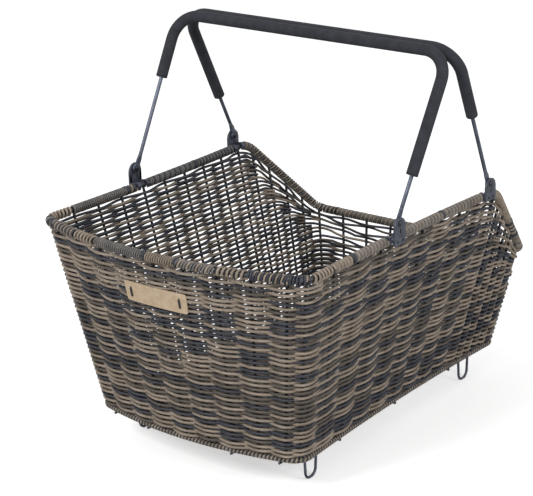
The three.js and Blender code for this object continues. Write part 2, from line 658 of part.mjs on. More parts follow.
// The least gap of a wound strand to itself, between points that lie over half a loop apart
function leastGap(points) {
  const apart = BINDING_STEPS / 2;
  const gapsOf = (p, i) => points.slice(i + apart + 1).map((q) => p.distanceTo(q) - STRAND_D);
  return Math.min(...points.flatMap(gapsOf));
}
for (const { name, at: middle } of bindings) {
  const { points, up } = bindingPath(middle);
  place(name, sweep(points, solidRound(STRAND_D, BINDING_SIDES), { up }), "lightStrand");
  console.log(`${name}: least gap to itself ${leastGap(points).toFixed(2)} mm`);
}

// Wires under the floor: cross wires against the base ring's wrap, and below them two long wires and two
// rails, whose ends step up to the ring
const crossZ = -(RING_WRAP_D / 2 + SEAT_GAP + BASE_WIRE_D / 2);
const longZ = crossZ - BASE_WIRE_D - SEAT_GAP;
const ringMiddleY = (RING_FRONT_Y + RING_REAR_Y) / 2;
const isFront = (p) => p.y < ringMiddleY;
const isRear = (p) => p.y > ringMiddleY;
const crossNames = ["cross_wire_front", "cross_wire_middle", "cross_wire_rear"];
crossNames.forEach((name, i) => {
  const fromMiddle = (i - (CROSS_WIRE_COUNT - 1) / 2) * CROSS_WIRE_PITCH;
  const y = ringMiddleY - CROSS_WIRE_SHIFT + fromMiddle;
  const x = ring.track.point(crossing(ring.track, "y", y, onRight)).x + WIRE_END;
  place(name, wire([at(-x, y, crossZ), at(x, y, crossZ)], BASE_WIRE_D, WIRE_SIDES), "wireSteel");
});
function longWire(frontX, rearX) {
  const front = ring.track.point(crossing(ring.track, "x", frontX, isFront)).y - WIRE_END;
  const rear = ring.track.point(crossing(ring.track, "x", rearX, isRear)).y + WIRE_END;
  const xAt = (y) => THREE.MathUtils.mapLinear(y, front, rear, frontX, rearX);
  const stations = [
    [front, crossZ],
    [front + STEP_START, crossZ],
    [front + STEP_END, longZ],
    [rear - STEP_END, longZ],
    [rear - STEP_START, crossZ],
    [rear, crossZ],
  ];
  return { xAt, points: stations.map(([y, z]) => at(xAt(y), y, z)) };
}
const sides = [
  { name: "left", side: -1 },
  { name: "right", side: 1 },
];
const loopBottom = -LOOP_DEPTH;
for (const { name, side } of sides) {
  const straight = longWire(side * LONG_WIRE_X, side * LONG_WIRE_X);
  const rail = longWire(side * RAIL_FRONT_X, side * RAIL_REAR_X);
  place(`long_wire_${name}`, wire(straight.points, BASE_WIRE_D, WIRE_SIDES), "wireSteel");
  place(`loop_rail_${name}`, wire(rail.points, BASE_WIRE_D, WIRE_SIDES), "wireSteel");

  // Wire loops, each beside its rail
  const beside = side * (BASE_WIRE_D / 2 + SEAT_GAP + LOOP_WIRE_D / 2);
  for (const [end, y] of [["front", LOOP_FRONT_Y], ["rear", LOOP_REAR_Y]]) {
    const corner = (half, z) => at(rail.xAt(y + half) + beside, y + half, z);
    const corners = [
      corner(-LOOP_HALF, -LOOP_TOP),
      corner(-LOOP_FOOT_HALF, loopBottom),
      corner(LOOP_FOOT_HALF, loopBottom),
      corner(LOOP_HALF, -LOOP_TOP),
    ];
    const path = bentLine(corners, LOOP_BEND_R, LOOP_BEND_STEPS);
    place(`wire_loop_${end}_${name}`, wire(path, LOOP_WIRE_D, WIRE_SIDES, { up: ACROSS }), "wireSteel");
  }
}

// Brackets: plate outside the rim wrap, two clips round the bare rim wire, and a web from each to the plate
const plateInner = pivotX + EYE_THICKNESS / 2 + SEAT_GAP;
const plateMiddle = plateInner + PLATE_THICKNESS / 2;
const plateOuter = plateInner + PLATE_THICKNESS;
const clipD = RIM_WIRE_D + 2 * CLIP_GAP + 2 * CLIP_THICKNESS;
const clipPlan = wrapPlan(RIM_WIRE_D, CLIP_GAP, clipD, RIM_WRAP_SLOT, slotBelow);
const moved = (points, x, y) => points.map((v) => new THREE.Vector2(v.x + x, v.y + y));
const halfCircle = (radius, sides, turn) => circle(radius, sides, turn).slice(0, sides / 2 + 1);
const holeAt = (y, z, diameter, sides) =>
  moved(circle(diameter / 2 / Math.cos(Math.PI / sides), sides, Math.PI / sides).reverse(), y, z);
// A flat plate whose outline is drawn in y and z, between two values of x
function flatPlate(outline, holes, x1, x2) {
  const ends = [Math.min(x1, x2), Math.max(x1, x2)];
  const rings = ends.map((x) => [outline, ...holes].flat().map((v) => at(x, v.x, v.y)));
  return loft(rings, { outline, holes });
}
function bracket({ side, y, z, at: middle }) {
  const half = PLATE_WIDTH / 2;
  const bottom = RIM_HEIGHT - PLATE_BOTTOM;
  const foot = [new THREE.Vector2(y - half, bottom), new THREE.Vector2(y + half, bottom)];
  const outline = [...foot, ...moved(halfCircle(half, ROUND_SIDES, 0), y, z + PLATE_TOP - half)];
  const slotTop = z - RIVET_HEAD_D / 2 - PLATE_SLOT_D;
  const slotBottom = slotTop - PLATE_SLOT + PLATE_SLOT_D;
  const slot = [
    ...moved(halfCircle(PLATE_SLOT_D / 2, SMALL_SIDES, 0), y, slotTop),
    ...moved(halfCircle(PLATE_SLOT_D / 2, SMALL_SIDES, Math.PI), y, slotBottom),
  ].reverse();
  const rivetHole = holeAt(y, z, RIVET_D + 2 * PIVOT_GAP, ROUND_SIDES);
  const smallHoles = [-PLATE_HOLE_X, PLATE_HOLE_X].map((d) =>
    holeAt(y + d, bottom + PLATE_HOLE_RISE, PLATE_HOLE_D, SMALL_SIDES),
  );
  const holes = [rivetHole, slot, ...smallHoles];
  const parts = [flatPlate(outline, holes, side * plateInner, side * plateOuter)];
  for (const end of [-1, 1]) {
    const clipAt = middle + end * (half - CLIP_WIDTH / 2);
    const [from, centre, to] = [-CLIP_WIDTH / 2, 0, CLIP_WIDTH / 2].map((d) => rim.track.point(clipAt + d));
    const wall = side * centre.x + RIM_WIRE_D / 2 + CLIP_GAP + CLIP_THICKNESS / 2;
    const web = new THREE.BoxGeometry(plateMiddle - wall, CLIP_WIDTH, WEB_RISE + WEB_DROP);
    const webMiddle = at((side * (plateMiddle + wall)) / 2, centre.y, RIM_HEIGHT + (WEB_RISE - WEB_DROP) / 2);
    parts.push(sweep([from, to], clipPlan), web.translate(...webMiddle));
  }
  return joined(parts);
}
for (const b of brackets) place(`handle_bracket_${b.name}`, bracket(b), "blackSteel");

// Rivets: a head inside the handle's eye, a shank through eye and plate, and a tail outside
function rivet({ side, y, z }) {
  const head = pivotX - EYE_THICKNESS / 2 - SEAT_GAP;
  const tail = plateOuter + SEAT_GAP;
  const profile = [
    [0, head - RIVET_HEAD],
    [RIVET_HEAD_D / 2 - RIVET_CHAMFER, head - RIVET_HEAD],
    [RIVET_HEAD_D / 2, head - RIVET_HEAD / 2],
    [RIVET_HEAD_D / 2, head],
    [RIVET_D / 2, head],
    [RIVET_D / 2, tail],
    [RIVET_TAIL_D / 2, tail],
    [RIVET_TAIL_D / 2 - RIVET_CHAMFER, tail + RIVET_HEAD],
    [0, tail + RIVET_HEAD],
  ];
  const turned = new THREE.LatheGeometry(profile.map(([r, x]) => new THREE.Vector2(r, x)), ROUND_SIDES);
  return turned.rotateZ((-side * Math.PI) / 2).translate(0, y, z);
}
for (const b of brackets) place(`pivot_rivet_${b.name}`, rivet(b), "blackSteel");

// Bail handles and their sleeves. Raised, the two bars rest against each other.
const barsZ = RIM_HEIGHT + BARS_RISE;
const handles = [
  { name: "front", ...frontPivot, bar: -1, slide: FRONT_GRIP_SLIDE },
  { name: "rear", ...rearPivot, bar: 1, slide: REAR_GRIP_SLIDE },
];
for (const { name, y, z, bar, slide } of handles) {
  const barY = BARS_MEET_Y + (bar * (GRIP_D + BAR_GAP)) / 2;
  const reach = Math.hypot(barY - y, barsZ - z);
  const leg = at(0, (barY - y) / reach, (barsZ - z) / reach);
  const facing = at(0, leg.z, -leg.y);
  const onHandle = (x, d) => at(x, y, z).addScaledVector(leg, d);
  const corners = [
    onHandle(-pivotX, EYE_NECK),
    onHandle(-pivotX - HANDLE_SPREAD, reach),
    onHandle(pivotX + HANDLE_SPREAD, reach),
    onHandle(pivotX, EYE_NECK),
  ];
  const foot = [0, EYE_FLAT];
  const points = [
    ...foot.map((d) => onHandle(-pivotX, d)),
    ...bentLine(corners, HANDLE_BEND, HANDLE_BEND_STEPS),
    ...foot.map((d) => onHandle(pivotX, d)).reverse(),
  ];
  const isFlat = (i) => i < foot.length || i >= points.length - foot.length;
  const wireHalf = (HANDLE_WIRE_D / 2) * Math.cos(Math.PI / HANDLE_SIDES);
  const flattened = [EYE_THICKNESS / 2 / wireHalf, EYE_WIDTH / 2 / wireHalf];
  const scale = (i) => (isFlat(i) ? flattened : [1, 1]);
  const bent = wire(points, HANDLE_WIRE_D, HANDLE_SIDES, { up: facing, scale });
  const disc = (x, diameter, half) =>
    flatPlate(holeAt(y, z, diameter, ROUND_SIDES).reverse(), [], x - half, x + half);
  const pivots = [-pivotX, pivotX];
  const eyes = pivots.map((x) => disc(x, 2 * EYE_R, EYE_THICKNESS / 2));
  const bores = pivots.map((x) => disc(x, RIVET_D + 2 * PIVOT_GAP, EYE_THICKNESS));
  place(`${name}_handle`, joined([bent, ...eyes], bores), "wireSteel");

  const track = new Track(points, false, fullLength);
  const middle = track.length / 2 + slide;
  const sleeve = track.slice(middle - GRIP_LENGTH / 2, middle + GRIP_LENGTH / 2);
  const sleevePlan = {
    outline: circle(GRIP_D / 2, GRIP_SIDES, Math.PI / GRIP_SIDES),
    holes: [circle(HANDLE_WIRE_D / 2 + SEAT_GAP, HANDLE_SIDES, Math.PI / HANDLE_SIDES).reverse()],
  };
  place(`${name}_grip`, sweep(sleeve, sleevePlan, { up: facing }), "foam");
}

// The origin lies under the middle of the basket's box
const box = new THREE.Box3().setFromObject(basket);
const centre = box.getCenter(at(0, 0, 0));
basket.position.set(0, -centre.y, -box.min.z);

export default basket;
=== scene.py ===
import math
import random

import bmesh
import bpy
from mathutils import Matrix, Vector


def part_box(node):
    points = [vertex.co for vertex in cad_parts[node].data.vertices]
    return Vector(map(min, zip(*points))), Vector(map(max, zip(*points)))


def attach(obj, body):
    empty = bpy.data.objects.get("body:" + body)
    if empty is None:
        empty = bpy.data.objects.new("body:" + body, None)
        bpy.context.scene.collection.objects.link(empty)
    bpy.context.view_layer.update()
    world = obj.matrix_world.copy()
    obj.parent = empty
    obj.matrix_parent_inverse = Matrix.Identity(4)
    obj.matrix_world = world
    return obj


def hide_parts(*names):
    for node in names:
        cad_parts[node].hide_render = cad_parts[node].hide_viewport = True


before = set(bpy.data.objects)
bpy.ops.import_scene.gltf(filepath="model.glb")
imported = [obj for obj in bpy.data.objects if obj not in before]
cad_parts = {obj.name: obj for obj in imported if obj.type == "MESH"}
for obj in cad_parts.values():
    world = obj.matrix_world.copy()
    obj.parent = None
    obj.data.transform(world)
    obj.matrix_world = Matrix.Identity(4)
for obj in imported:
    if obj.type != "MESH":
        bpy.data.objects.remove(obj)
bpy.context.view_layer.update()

# Camera: a long lens at the photograph's angle, to the right of the tall front end and a little above the
# rim. Its place, angles and lens come from a fit to the rim, the base ring and the handles.
CAMERA_AT = Vector((1.13665, -1.5184, 0.84314))
CAMERA_AZIMUTH = math.radians(37.73)
CAMERA_ELEVATION = math.radians(19.18)
CAMERA_ROLL = math.radians(-1.3)
LENS_MM = 131.15
CLIP_END = 30
ahead = Vector((
    -math.sin(CAMERA_AZIMUTH) * math.cos(CAMERA_ELEVATION),
    math.cos(CAMERA_AZIMUTH) * math.cos(CAMERA_ELEVATION),
    -math.sin(CAMERA_ELEVATION),
))
level = Vector((math.cos(CAMERA_AZIMUTH), math.sin(CAMERA_AZIMUTH), 0))
overhead = level.cross(ahead)
right = math.cos(CAMERA_ROLL) * level + math.sin(CAMERA_ROLL) * overhead
up = math.cos(CAMERA_ROLL) * overhead - math.sin(CAMERA_ROLL) * level
camera = bpy.data.objects.new("camera", bpy.data.cameras.new("camera"))
camera.data.lens = LENS_MM
camera.data.clip_end = CLIP_END
camera.matrix_world = Matrix.Translation(CAMERA_AT) @ Matrix((right, up, -ahead)).transposed().to_4x4()
bpy.context.scene.collection.objects.link(camera)
bpy.context.scene.camera = camera


# Wire frame: steel wires welded into a skeleton and dipped in black plastic. A rim that falls to the low rear
# end, a smaller base ring, and stakes from the ring to the rim that the walls are woven on.
MM = 0.001
FRONT_Y = -198.333  # rim's front corners, in the row frame
RING_Z = 38.292  # base ring's centre line
RIM_HEIGHT = 200.7
RIM_DROP = 97.5
# each corner: its place, the straight length that its bend takes off, and the bow of the side after it
RIM_CORNERS = (
    ((-162.2, 0, RIM_HEIGHT), 14, (0, -25.9)),
    ((162.2, 0, RIM_HEIGHT), 14, (-4.2, 0)),
    ((161.8, 325.2, RIM_HEIGHT), 13, (0, 0)),
    ((135.6, 424.4, RIM_HEIGHT - RIM_DROP), 12, (0, 0)),
    ((-135.6, 424.4, RIM_HEIGHT - RIM_DROP), 12, (0, 0)),
    ((-161.8, 325.2, RIM_HEIGHT), 13, (4.2, 0)),
)
RING_FRONT_HALF, RING_FRONT_Y, RING_FRONT_BOW = 127.4, 32, 16.5
RING_CORNERS = (
    ((-RING_FRONT_HALF, RING_FRONT_Y, 0), 14, (0, -RING_FRONT_BOW)),
    ((RING_FRONT_HALF, RING_FRONT_Y, 0), 14, (-5.4, 0)),
    ((115.9, 404.8, 0), 14, (0, 0)),
    ((-115.9, 404.8, 0), 14, (5.4, 0)),
)
SIDE_STEPS = 32  # points in a side of a wire, and in a bend
BEND_STEPS = 10
ROUND_BEND = 0.5523  # of the way to a corner: a curve's handle there gives a round bend
LEVEL_BAYS = 9  # in a side wall, before the slope
FRONT_STAKES = 9  # between the corner stakes
REAR_BAYS = 8
RIGHT_SLOPE_BAYS, RIGHT_LEVEL_SHARE, RIGHT_BAY_EASE = 6, 0.76, 0.05
LEFT_SLOPE_BAYS, LEFT_LEVEL_SHARE, LEFT_BAY_EASE = 5, 0.72, 0.015


class Wire:
    """A closed bent wire, with its plan length from the middle of its last bend's side."""

    def __init__(self, corners):
        at = [Vector(c[0]) for c in corners]
        n = len(at)
        middle = [(at[i] + at[(i + 1) % n]) / 2 + 2 * Vector((*corners[i][2], 0)) for i in range(n)]
        leave = [at[i] + (middle[i] - at[i]).normalized() * corners[i][1] for i in range(n)]
        reach = [at[i] + (middle[i - 1] - at[i]).normalized() * corners[i][1] for i in range(n)]
        self.points = []
        bends = {}
        for i in range(n):
            j = (i + 1) % n
            for k in range(SIDE_STEPS):
                t = k / SIDE_STEPS
                self.points.append((1 - t) ** 2 * leave[i] + 2 * t * (1 - t) * middle[i] + t * t * reach[j])
            bends[j] = len(self.points) + BEND_STEPS // 2
            first = reach[j].lerp(at[j], ROUND_BEND)
            second = leave[j].lerp(at[j], ROUND_BEND)
            for k in range(BEND_STEPS):
                t = k / BEND_STEPS
                a, b, c, d = (1 - t) ** 3, 3 * t * (1 - t) ** 2, 3 * t * t * (1 - t), t ** 3
                self.points.append(a * reach[j] + b * first + c * second + d * leave[j])
        self.marks = [0.0]
        for a, b in zip(self.points, self.points[1:] + self.points[:1]):
            self.marks.append(self.marks[-1] + (b - a).xy.length)
        self.length = self.marks[-1]
        self.bends = [self.marks[bends[i] % len(self.points)] for i in range(n)]

    def at(self, s):
        s %= self.length
        low, high = 0, len(self.points)
        while high - low > 1:
            half = (low + high) // 2
            low, high = (half, high) if self.marks[half] <= s else (low, half)
        a, b = self.points[low], self.points[(low + 1) % len(self.points)]
        return a.lerp(b, (s - self.marks[low]) / (self.marks[low + 1] - self.marks[low]))

    def along(self, s):
        return (self.at(s + 1) - self.at(s - 1)).normalized()


rim = Wire(RIM_CORNERS)
ring = Wire(RING_CORNERS)


def side_shares(slope_bays, level_share, ease):
    """Places of a side wall's stakes, as shares of its length: the level bays, then the slope's."""
    shares = []
    for i in range(LEVEL_BAYS):
        shares.append(level_share * (i / LEVEL_BAYS + ease * math.sin(math.pi * i / LEVEL_BAYS)))
    for i in range(slope_bays + 1):
        shares.append(level_share + (1 - level_share) * i / slope_bays)
    return shares


SHARES = (
    [0] + [(i + 0.5) / FRONT_STAKES for i in range(FRONT_STAKES)] + [1],
    side_shares(RIGHT_SLOPE_BAYS, RIGHT_LEVEL_SHARE, RIGHT_BAY_EASE),
    [i / REAR_BAYS for i in range(REAR_BAYS + 1)],
    [1 - s for s in reversed(side_shares(LEFT_SLOPE_BAYS, LEFT_LEVEL_SHARE, LEFT_BAY_EASE))],
)
WALL_NAMES = ("front", "right", "rear", "left")
RIM_ENDS = (rim.bends[0] - rim.length, rim.bends[1], rim.bends[3], rim.bends[4], rim.bends[0])
RING_ENDS = (ring.bends[0] - ring.length, ring.bends[1], ring.bends[2], ring.bends[3], ring.bends[0])
FIRST_STAKE = [sum(len(s) - 1 for s in SHARES[:i]) for i in range(5)]
STAKES = FIRST_STAKE[4]


def stake_at(u):
    """Foot and head of a stake, in millimetres. u counts stakes round the basket and may lie between two."""
    u %= STAKES
    wall = max(i for i in range(4) if FIRST_STAKE[i] <= u)
    bay = min(int(u - FIRST_STAKE[wall]), len(SHARES[wall]) - 2)
    a, b = SHARES[wall][bay:bay + 2]
    share = a + (b - a) * (u - FIRST_STAKE[wall] - bay)
    low = ring.at(RING_ENDS[wall] + (RING_ENDS[wall + 1] - RING_ENDS[wall]) * share)
    high = rim.at(RIM_ENDS[wall] + (RIM_ENDS[wall + 1] - RIM_ENDS[wall]) * share)
    return low, high


def in_row(p):
    """A point in millimetres from the front rim corners and the base ring, in the row frame."""
    return Vector((p.x * MM, (p.y + FRONT_Y) * MM, (p.z + RING_Z) * MM))


def tubes(name, runs, finishes, sides=6, closed=False):
    """One mesh of round tubes. A run is a line of points, its radius or radii, and its finish."""
    curve = bpy.data.curves.new(name, "CURVE")
    curve.dimensions = "3D"
    curve.bevel_depth = MM
    curve.bevel_resolution = sides // 2 - 2
    curve.use_fill_caps = True
    for finish in finishes:
        curve.materials.append(finish)
    for points, radius, finish in runs:
        spline = curve.splines.new("POLY")
        spline.points.add(len(points) - 1)
        spline.points.foreach_set("co", [c for p in points for c in (*in_row(p), 1)])
        spline.points.foreach_set("radius", radius if isinstance(radius, list) else [radius] * len(points))
        spline.material_index = finish
        spline.use_cyclic_u = closed
    holder = bpy.data.objects.new(name, curve)
    bpy.context.scene.collection.objects.link(holder)
    bpy.context.view_layer.update()
    mesh = bpy.data.meshes.new_from_object(holder)
    bpy.data.objects.remove(holder)
    mesh.shade_smooth()
    mesh.name = name
    piece = bpy.data.objects.new(name, mesh)
    bpy.context.scene.collection.objects.link(piece)
    return piece


def colour(text):
    """An sRGB hex colour as linear values."""
    parts = [int(text[i:i + 2], 16) / 255 for i in (1, 3, 5)]
    return (*(p / 12.92 if p < 0.04045 else ((p + 0.055) / 1.055) ** 2.4 for p in parts), 1)


def node(tree, kind, values=None, **settings):
    """Adds a node. Settings are its properties; values holds its inputs, as numbers or as links."""
    made = tree.nodes.new(kind)
    for key, value in settings.items():
        setattr(made, key, value)
    for key, value in (values or {}).items():
        if isinstance(value, bpy.types.NodeSocket):
            tree.links.new(value, made.inputs[key])
        else:
            made.inputs[key].default_value = value
    return made


def material(name, **values):
    """A material with its shader. The values are the shader's inputs."""
    made = bpy.data.materials.new(name)
    made.use_nodes = True
    made.node_tree.nodes.clear()
    shader = node(made.node_tree, "ShaderNodeBsdfPrincipled", values)
    node(made.node_tree, "ShaderNodeOutputMaterial", {"Surface": shader.outputs[0]})
    return made, made.node_tree, shader


COLOUR_A, COLOUR_B = 6, 7  # a Mix node's two colour inputs, which share their names with its numbers


def mottled(name, base, worn, blotch_mm, grain_mm, bump_mm, **values):
    """A finish whose colour wanders between two, in blotches and in a finer grain that is raised as well."""
    made, tree, shader = material(name, **values)
    place = node(tree, "ShaderNodeTexCoord").outputs["Object"]
    blotch = node(tree, "ShaderNodeTexNoise", {"Vector": place, "Scale": 1 / (blotch_mm * MM), "Detail": 2.0})
    grain = node(tree, "ShaderNodeTexNoise", {"Vector": place, "Scale": 1 / (grain_mm * MM), "Detail": 3.0})
    both = node(tree, "ShaderNodeMath", {0: blotch.outputs[0], 1: grain.outputs[0]}, operation="ADD")
    share = node(tree, "ShaderNodeMapRange", {"Value": both.outputs[0], "From Min": 0.75, "From Max": 1.25})
    colours = {"Factor": share.outputs[0], COLOUR_A: colour(base), COLOUR_B: colour(worn)}
    tint = node(tree, "ShaderNodeMix", colours, data_type="RGBA")
    tree.links.new(tint.outputs[2], shader.inputs["Base Color"])
    relief = {"Height": grain.outputs[0], "Strength": 0.4, "Distance": bump_mm * MM}
    bump = node(tree, "ShaderNodeBump", relief)
    tree.links.new(bump.outputs[0], shader.inputs["Normal"])
    return made


def solid(name, shape, finish):
    """An object from a bmesh, smooth and of one finish."""
    mesh = bpy.data.meshes.new(name)
    shape.to_mesh(mesh)
    shape.free()
    mesh.materials.clear()
    mesh.materials.append(finish)
    mesh.shade_smooth()
    piece = bpy.data.objects.new(name, mesh)
    bpy.context.scene.collection.objects.link(piece)
    return piece


def fixed(piece, slot, *nodes, body="basket"):
    """A piece rides on a body and stands for CAD nodes, which are hidden. The slot is not used."""
    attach(piece, body)
    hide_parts(*nodes)
    return piece


# Dipped polyethylene over steel wire: near black, with the soft sheen of a thick plastic coat.
FRAME_PLASTIC = mottled("black_dipped_wire", "#17181C", "#26282E", 15, 1.5, 0.1, Roughness=0.42)
STAKE_R = 1.5
RIM_WIRE_R, RIM_WIRE_SIDES = 2.5, 12
RING_WIRE_R, RING_WIRE_SIDES = 1.6, 8
stake_runs = [([low, low.lerp(high, 0.5), high], STAKE_R, 0) for low, high in map(stake_at, range(STAKES))]
fixed(tubes("stakes", stake_runs, [FRAME_PLASTIC], sides=8), "black_steel", "wire_frame")
hoops = (
    ("rim_wire", rim, RIM_WIRE_R, RIM_WIRE_SIDES),
    ("ring_wire", ring, RING_WIRE_R, RING_WIRE_SIDES),
)
for name, hoop, radius, sides in hoops:
    piece = tubes(name, [(hoop.points, radius, 0)], [FRAME_PLASTIC], sides, closed=True)
    fixed(piece, "black_steel", "wire_frame")


# Woven walls: round polyethylene strand worked in and out of the stakes, each row passing the other side of a
# stake from the row below. Under the slope the upper rows fan down to the low rear end, and most of them
# stop at a stake on the way. Extruded polyethylene: matt, with lighter and darker blotches.
STRAND = dict(blotch_mm=14, grain_mm=1.2, bump_mm=0.25, Roughness=0.5)
BEIGE_STRAND = mottled("beige_polyethylene_strand", "#776A5C", "#A39586", **STRAND)
BROWN_STRAND = mottled("brown_polyethylene_strand", "#3F3832", "#5F564D", **STRAND)
DARK_STRAND = mottled("dark_polyethylene_strand", "#17191F", "#363944", **STRAND)
GREY_STRAND = mottled("grey_polyethylene_strand", "#4F4D4C", "#77736F", **STRAND)
WALL_FINISHES = (BEIGE_STRAND, BROWN_STRAND, DARK_STRAND)
FINISH_ODDS = ((0, 0, 0, 0, 0, 1, 2), (0, 0, 1, 1, 2, 2, 2))  # of two lighter and of two darker rows
STRAND_R = 1.43
SWING = 3.6  # from the stakes' line out to a strand's centre line
SAGS = (0.25, 0.25, 0.25, 0.55)  # a strand is this much lower outside a stake, and higher inside
ROW_PITCH = 2.5
TOP_GAP = 7.8  # from the rim's centre line to the highest row's
ROWS = 76
STOPS = ((2, 0.93), (4, 0.68), (8, 0.38), (16, 0.21))  # only every so many rows go on at such a press
HOLDS = (1, 0.6, 1, 0.6)  # the side walls' rows are pressed together more before they stop
SPARSE_ROWS = 50  # high on the rear wall every second row is left out
FAN_DEPTH = 38  # rows nearer than this to the rim's low part are the bent ones
CORNER_TIGHT = 0.5  # round a corner the strands are pulled tight
STEPS = 8  # points in a bay
REACH, REACH_ROWS = 2, 3  # steps that the rim's line is smoothed over: one more for every three rows down
SEAMS = (-0.5, 10.5, 24.5, 33.5, 46.5)  # where one wall ends and the next begins, in stakes
REAR_WALL = 2
PAINTED_SHADE_FINISHES = (0, 0, 1, 2)  # painted shade: finishes that take the place of beige on the rear and left walls, whose inner sides lie in shade
SWAY = 0.5  # a row is up to this much too high or too low at a stake
SLACK = 0.04  # rows that stop at one press stop up to this much earlier or later
RUN_BAYS = (2, 9)  # least and most bays between two changes of colour
NEAR = 0.04  # of a bay: the wall's direction is taken between two places this far to each side
random.seed(7)


def slope_at(u):
    """How much longer the rim is than its plan near a stake: 1 where it is level."""
    a, b = stake_at(u + 0.5)[1], stake_at(u - 0.5)[1]
    return (b - a).length / max((b - a).xy.length, 1)


def wall_point(u, z, outward):
    """A place on the walls: u counts stakes, z is the height and outward the distance from the stakes."""
    low, high = stake_at(u)
    a, b = stake_at(u + NEAR), stake_at(u - NEAR)
    t = z / high.z
    along = a[0].lerp(a[1], t) - b[0].lerp(b[1], t)
    along.z = 0
    return low.lerp(high, t) + along.normalized().cross(Vector((0, 0, 1))) * outward


SLOPES = [slope_at(i / STEPS) for i in range(STAKES * STEPS)]
TOPS = [stake_at(i / STEPS)[1].z - TOP_GAP * SLOPES[i] for i in range(STAKES * STEPS)]
LEVEL_TOP = RIM_HEIGHT - TOP_GAP


def row_height(row, i):
    """Height of a row at a step round the basket, and how much the rows are pressed together there. A row
    is level until it comes near the slope of the rim, and then bends down below it. The rim's line is
    smoothed, more so for lower rows."""
    level = LEVEL_TOP - row * ROW_PITCH
    reach = REACH + row // REACH_ROWS
    around = [TOPS[(i + k * reach // 2) % len(TOPS)] for k in (-2, -1, 0, 1, 2)]
    foot = sum(around) / 5 - FAN_DEPTH
    if level <= foot:
        return level, 1
    excess = (LEVEL_TOP - foot) / FAN_DEPTH - 1
    press = 1 / (1 + excess * (level - foot) / (LEVEL_TOP - foot))
    return foot + (level - foot) * press, press * press


def stop_press(row):
    """How closely the rows are pressed together where a row stops; 0 if it goes all the way round."""
    for every, press in STOPS:
        if row % every:
            return press + random.uniform(-SLACK, SLACK)
    return 0


def pressed(row, u):
    """The press at the nearer and the farther stake of a bay, whichever is more."""
    return min(row_height(row, math.floor(u) * STEPS)[1], row_height(row, math.ceil(u) * STEPS)[1])


def side_of(row, u, wall):
    """Which side of a stake a row passes: even outside at even stakes. Where rows are missing, the ones that
    are left take turns."""
    press = row_height(row, round(u) * STEPS)[1]
    every = 2 if wall == REAR_WALL and row < SPARSE_ROWS else 1
    for count, limit in STOPS:
        if press < limit * HOLDS[wall]:
            every = count
    return row // every


def painted_shade_finish(wall):
    """Painted shade: the rear and left walls, whose inner sides lie in the basket's shade, have brown and
    dark strand in place of some of the beige.
    """
    return random.choice(PAINTED_SHADE_FINISHES) if wall >= REAR_WALL else 0


def end_run(wall, points, finish):
    """Keeps a finished length of strand, unless it is a single point."""
    if len(points) > 1:
        # beige runs on the rear and left walls may turn brown or dark here: painted shade
        wall_runs[wall].append((points, STRAND_R, finish or painted_shade_finish(wall)))


def woven_row(row, stops, finishes, lengths):
    """Adds one row to the four walls. The colour changes at mid-bay after the given numbers of bays."""
    sway = [random.uniform(-SWAY, SWAY) for _ in range(STAKES)]
    turn, bays = 0, lengths[0]
    for wall in range(4):
        if wall == REAR_WALL and row % 2 and row < SPARSE_ROWS:
            continue
        points = []
        first, last = int(SEAMS[wall] * STEPS), int(SEAMS[wall + 1] * STEPS)
        for i in range(first, last + 1):
            u = i / STEPS
            if pressed(row, u) < stops * HOLDS[wall]:
                end_run(wall, points, finishes[turn])
                points = []
                continue
            a, b = sway[math.floor(u) % STAKES], sway[(math.floor(u) + 1) % STAKES]
            tight = CORNER_TIGHT if min(abs(u - seam) for seam in SEAMS) < 1 else 1
            out = tight * math.cos(math.pi * (u + side_of(row, u, wall)))
            z = row_height(row, i)[0] + a + (b - a) * (u - math.floor(u)) - SAGS[wall] * out
            points.append(wall_point(u, z, SWING * out))
            if i % STEPS == STEPS // 2:
                bays -= 1
                if bays == 0:
                    end_run(wall, points, finishes[turn])
                    points = [points[-1]]
                    turn += 1
                    bays = lengths[turn]
        end_run(wall, points, finishes[turn])


wall_runs = [[], [], [], []]
for row in range(ROWS):
    finishes = [random.choice(FINISH_ODDS[row // 2 % 2]) for _ in range(STAKES)]
    lengths = [random.randint(*RUN_BAYS) for _ in range(STAKES)]
    woven_row(row, stop_press(row), finishes, lengths)
for name, runs in zip(WALL_NAMES, wall_runs):
    fixed(tubes(f"{name}_woven_wall", runs, WALL_FINISHES), "strand", f"{name}_weave")


# Woven floor: the same strand worked over stakes that run from the front of the base ring to its rear. The
# photograph doesn't show it, so it follows the walls, flatter and more closely woven.
FLOOR_STAKES = 7
FLOOR_STEPS = 6  # points from one stake to the next
FLOOR_SWING = 1.2
FLOOR_STRAND_R = 1.2
FLOOR_STAKE_R = 1.2
FLOOR_END = 2.2  # the mat stops this far inside the base ring
FLOOR_FRONT_GAP = 2  # and this far behind its front bow
FLOOR_LEAST_HALF = 25  # shorter rows are left out
OUTER_STAKE_X = 100
RING_SIDE = (40, 398)  # the base ring's sides lie between these distances behind the front corners


def ring_half(y):
    """Half the base ring's width at a distance behind the front corners."""
    side = [p for p in ring.points if p.x > 0 and RING_SIDE[0] < p.y < RING_SIDE[1]]
    return min(side, key=lambda p: abs(p.y - y)).x


def ring_front(x):
    """Where the base ring's front bow lies at a distance from the middle."""
    return RING_FRONT_Y - RING_FRONT_BOW * (1 - (x / RING_FRONT_HALF) ** 2)


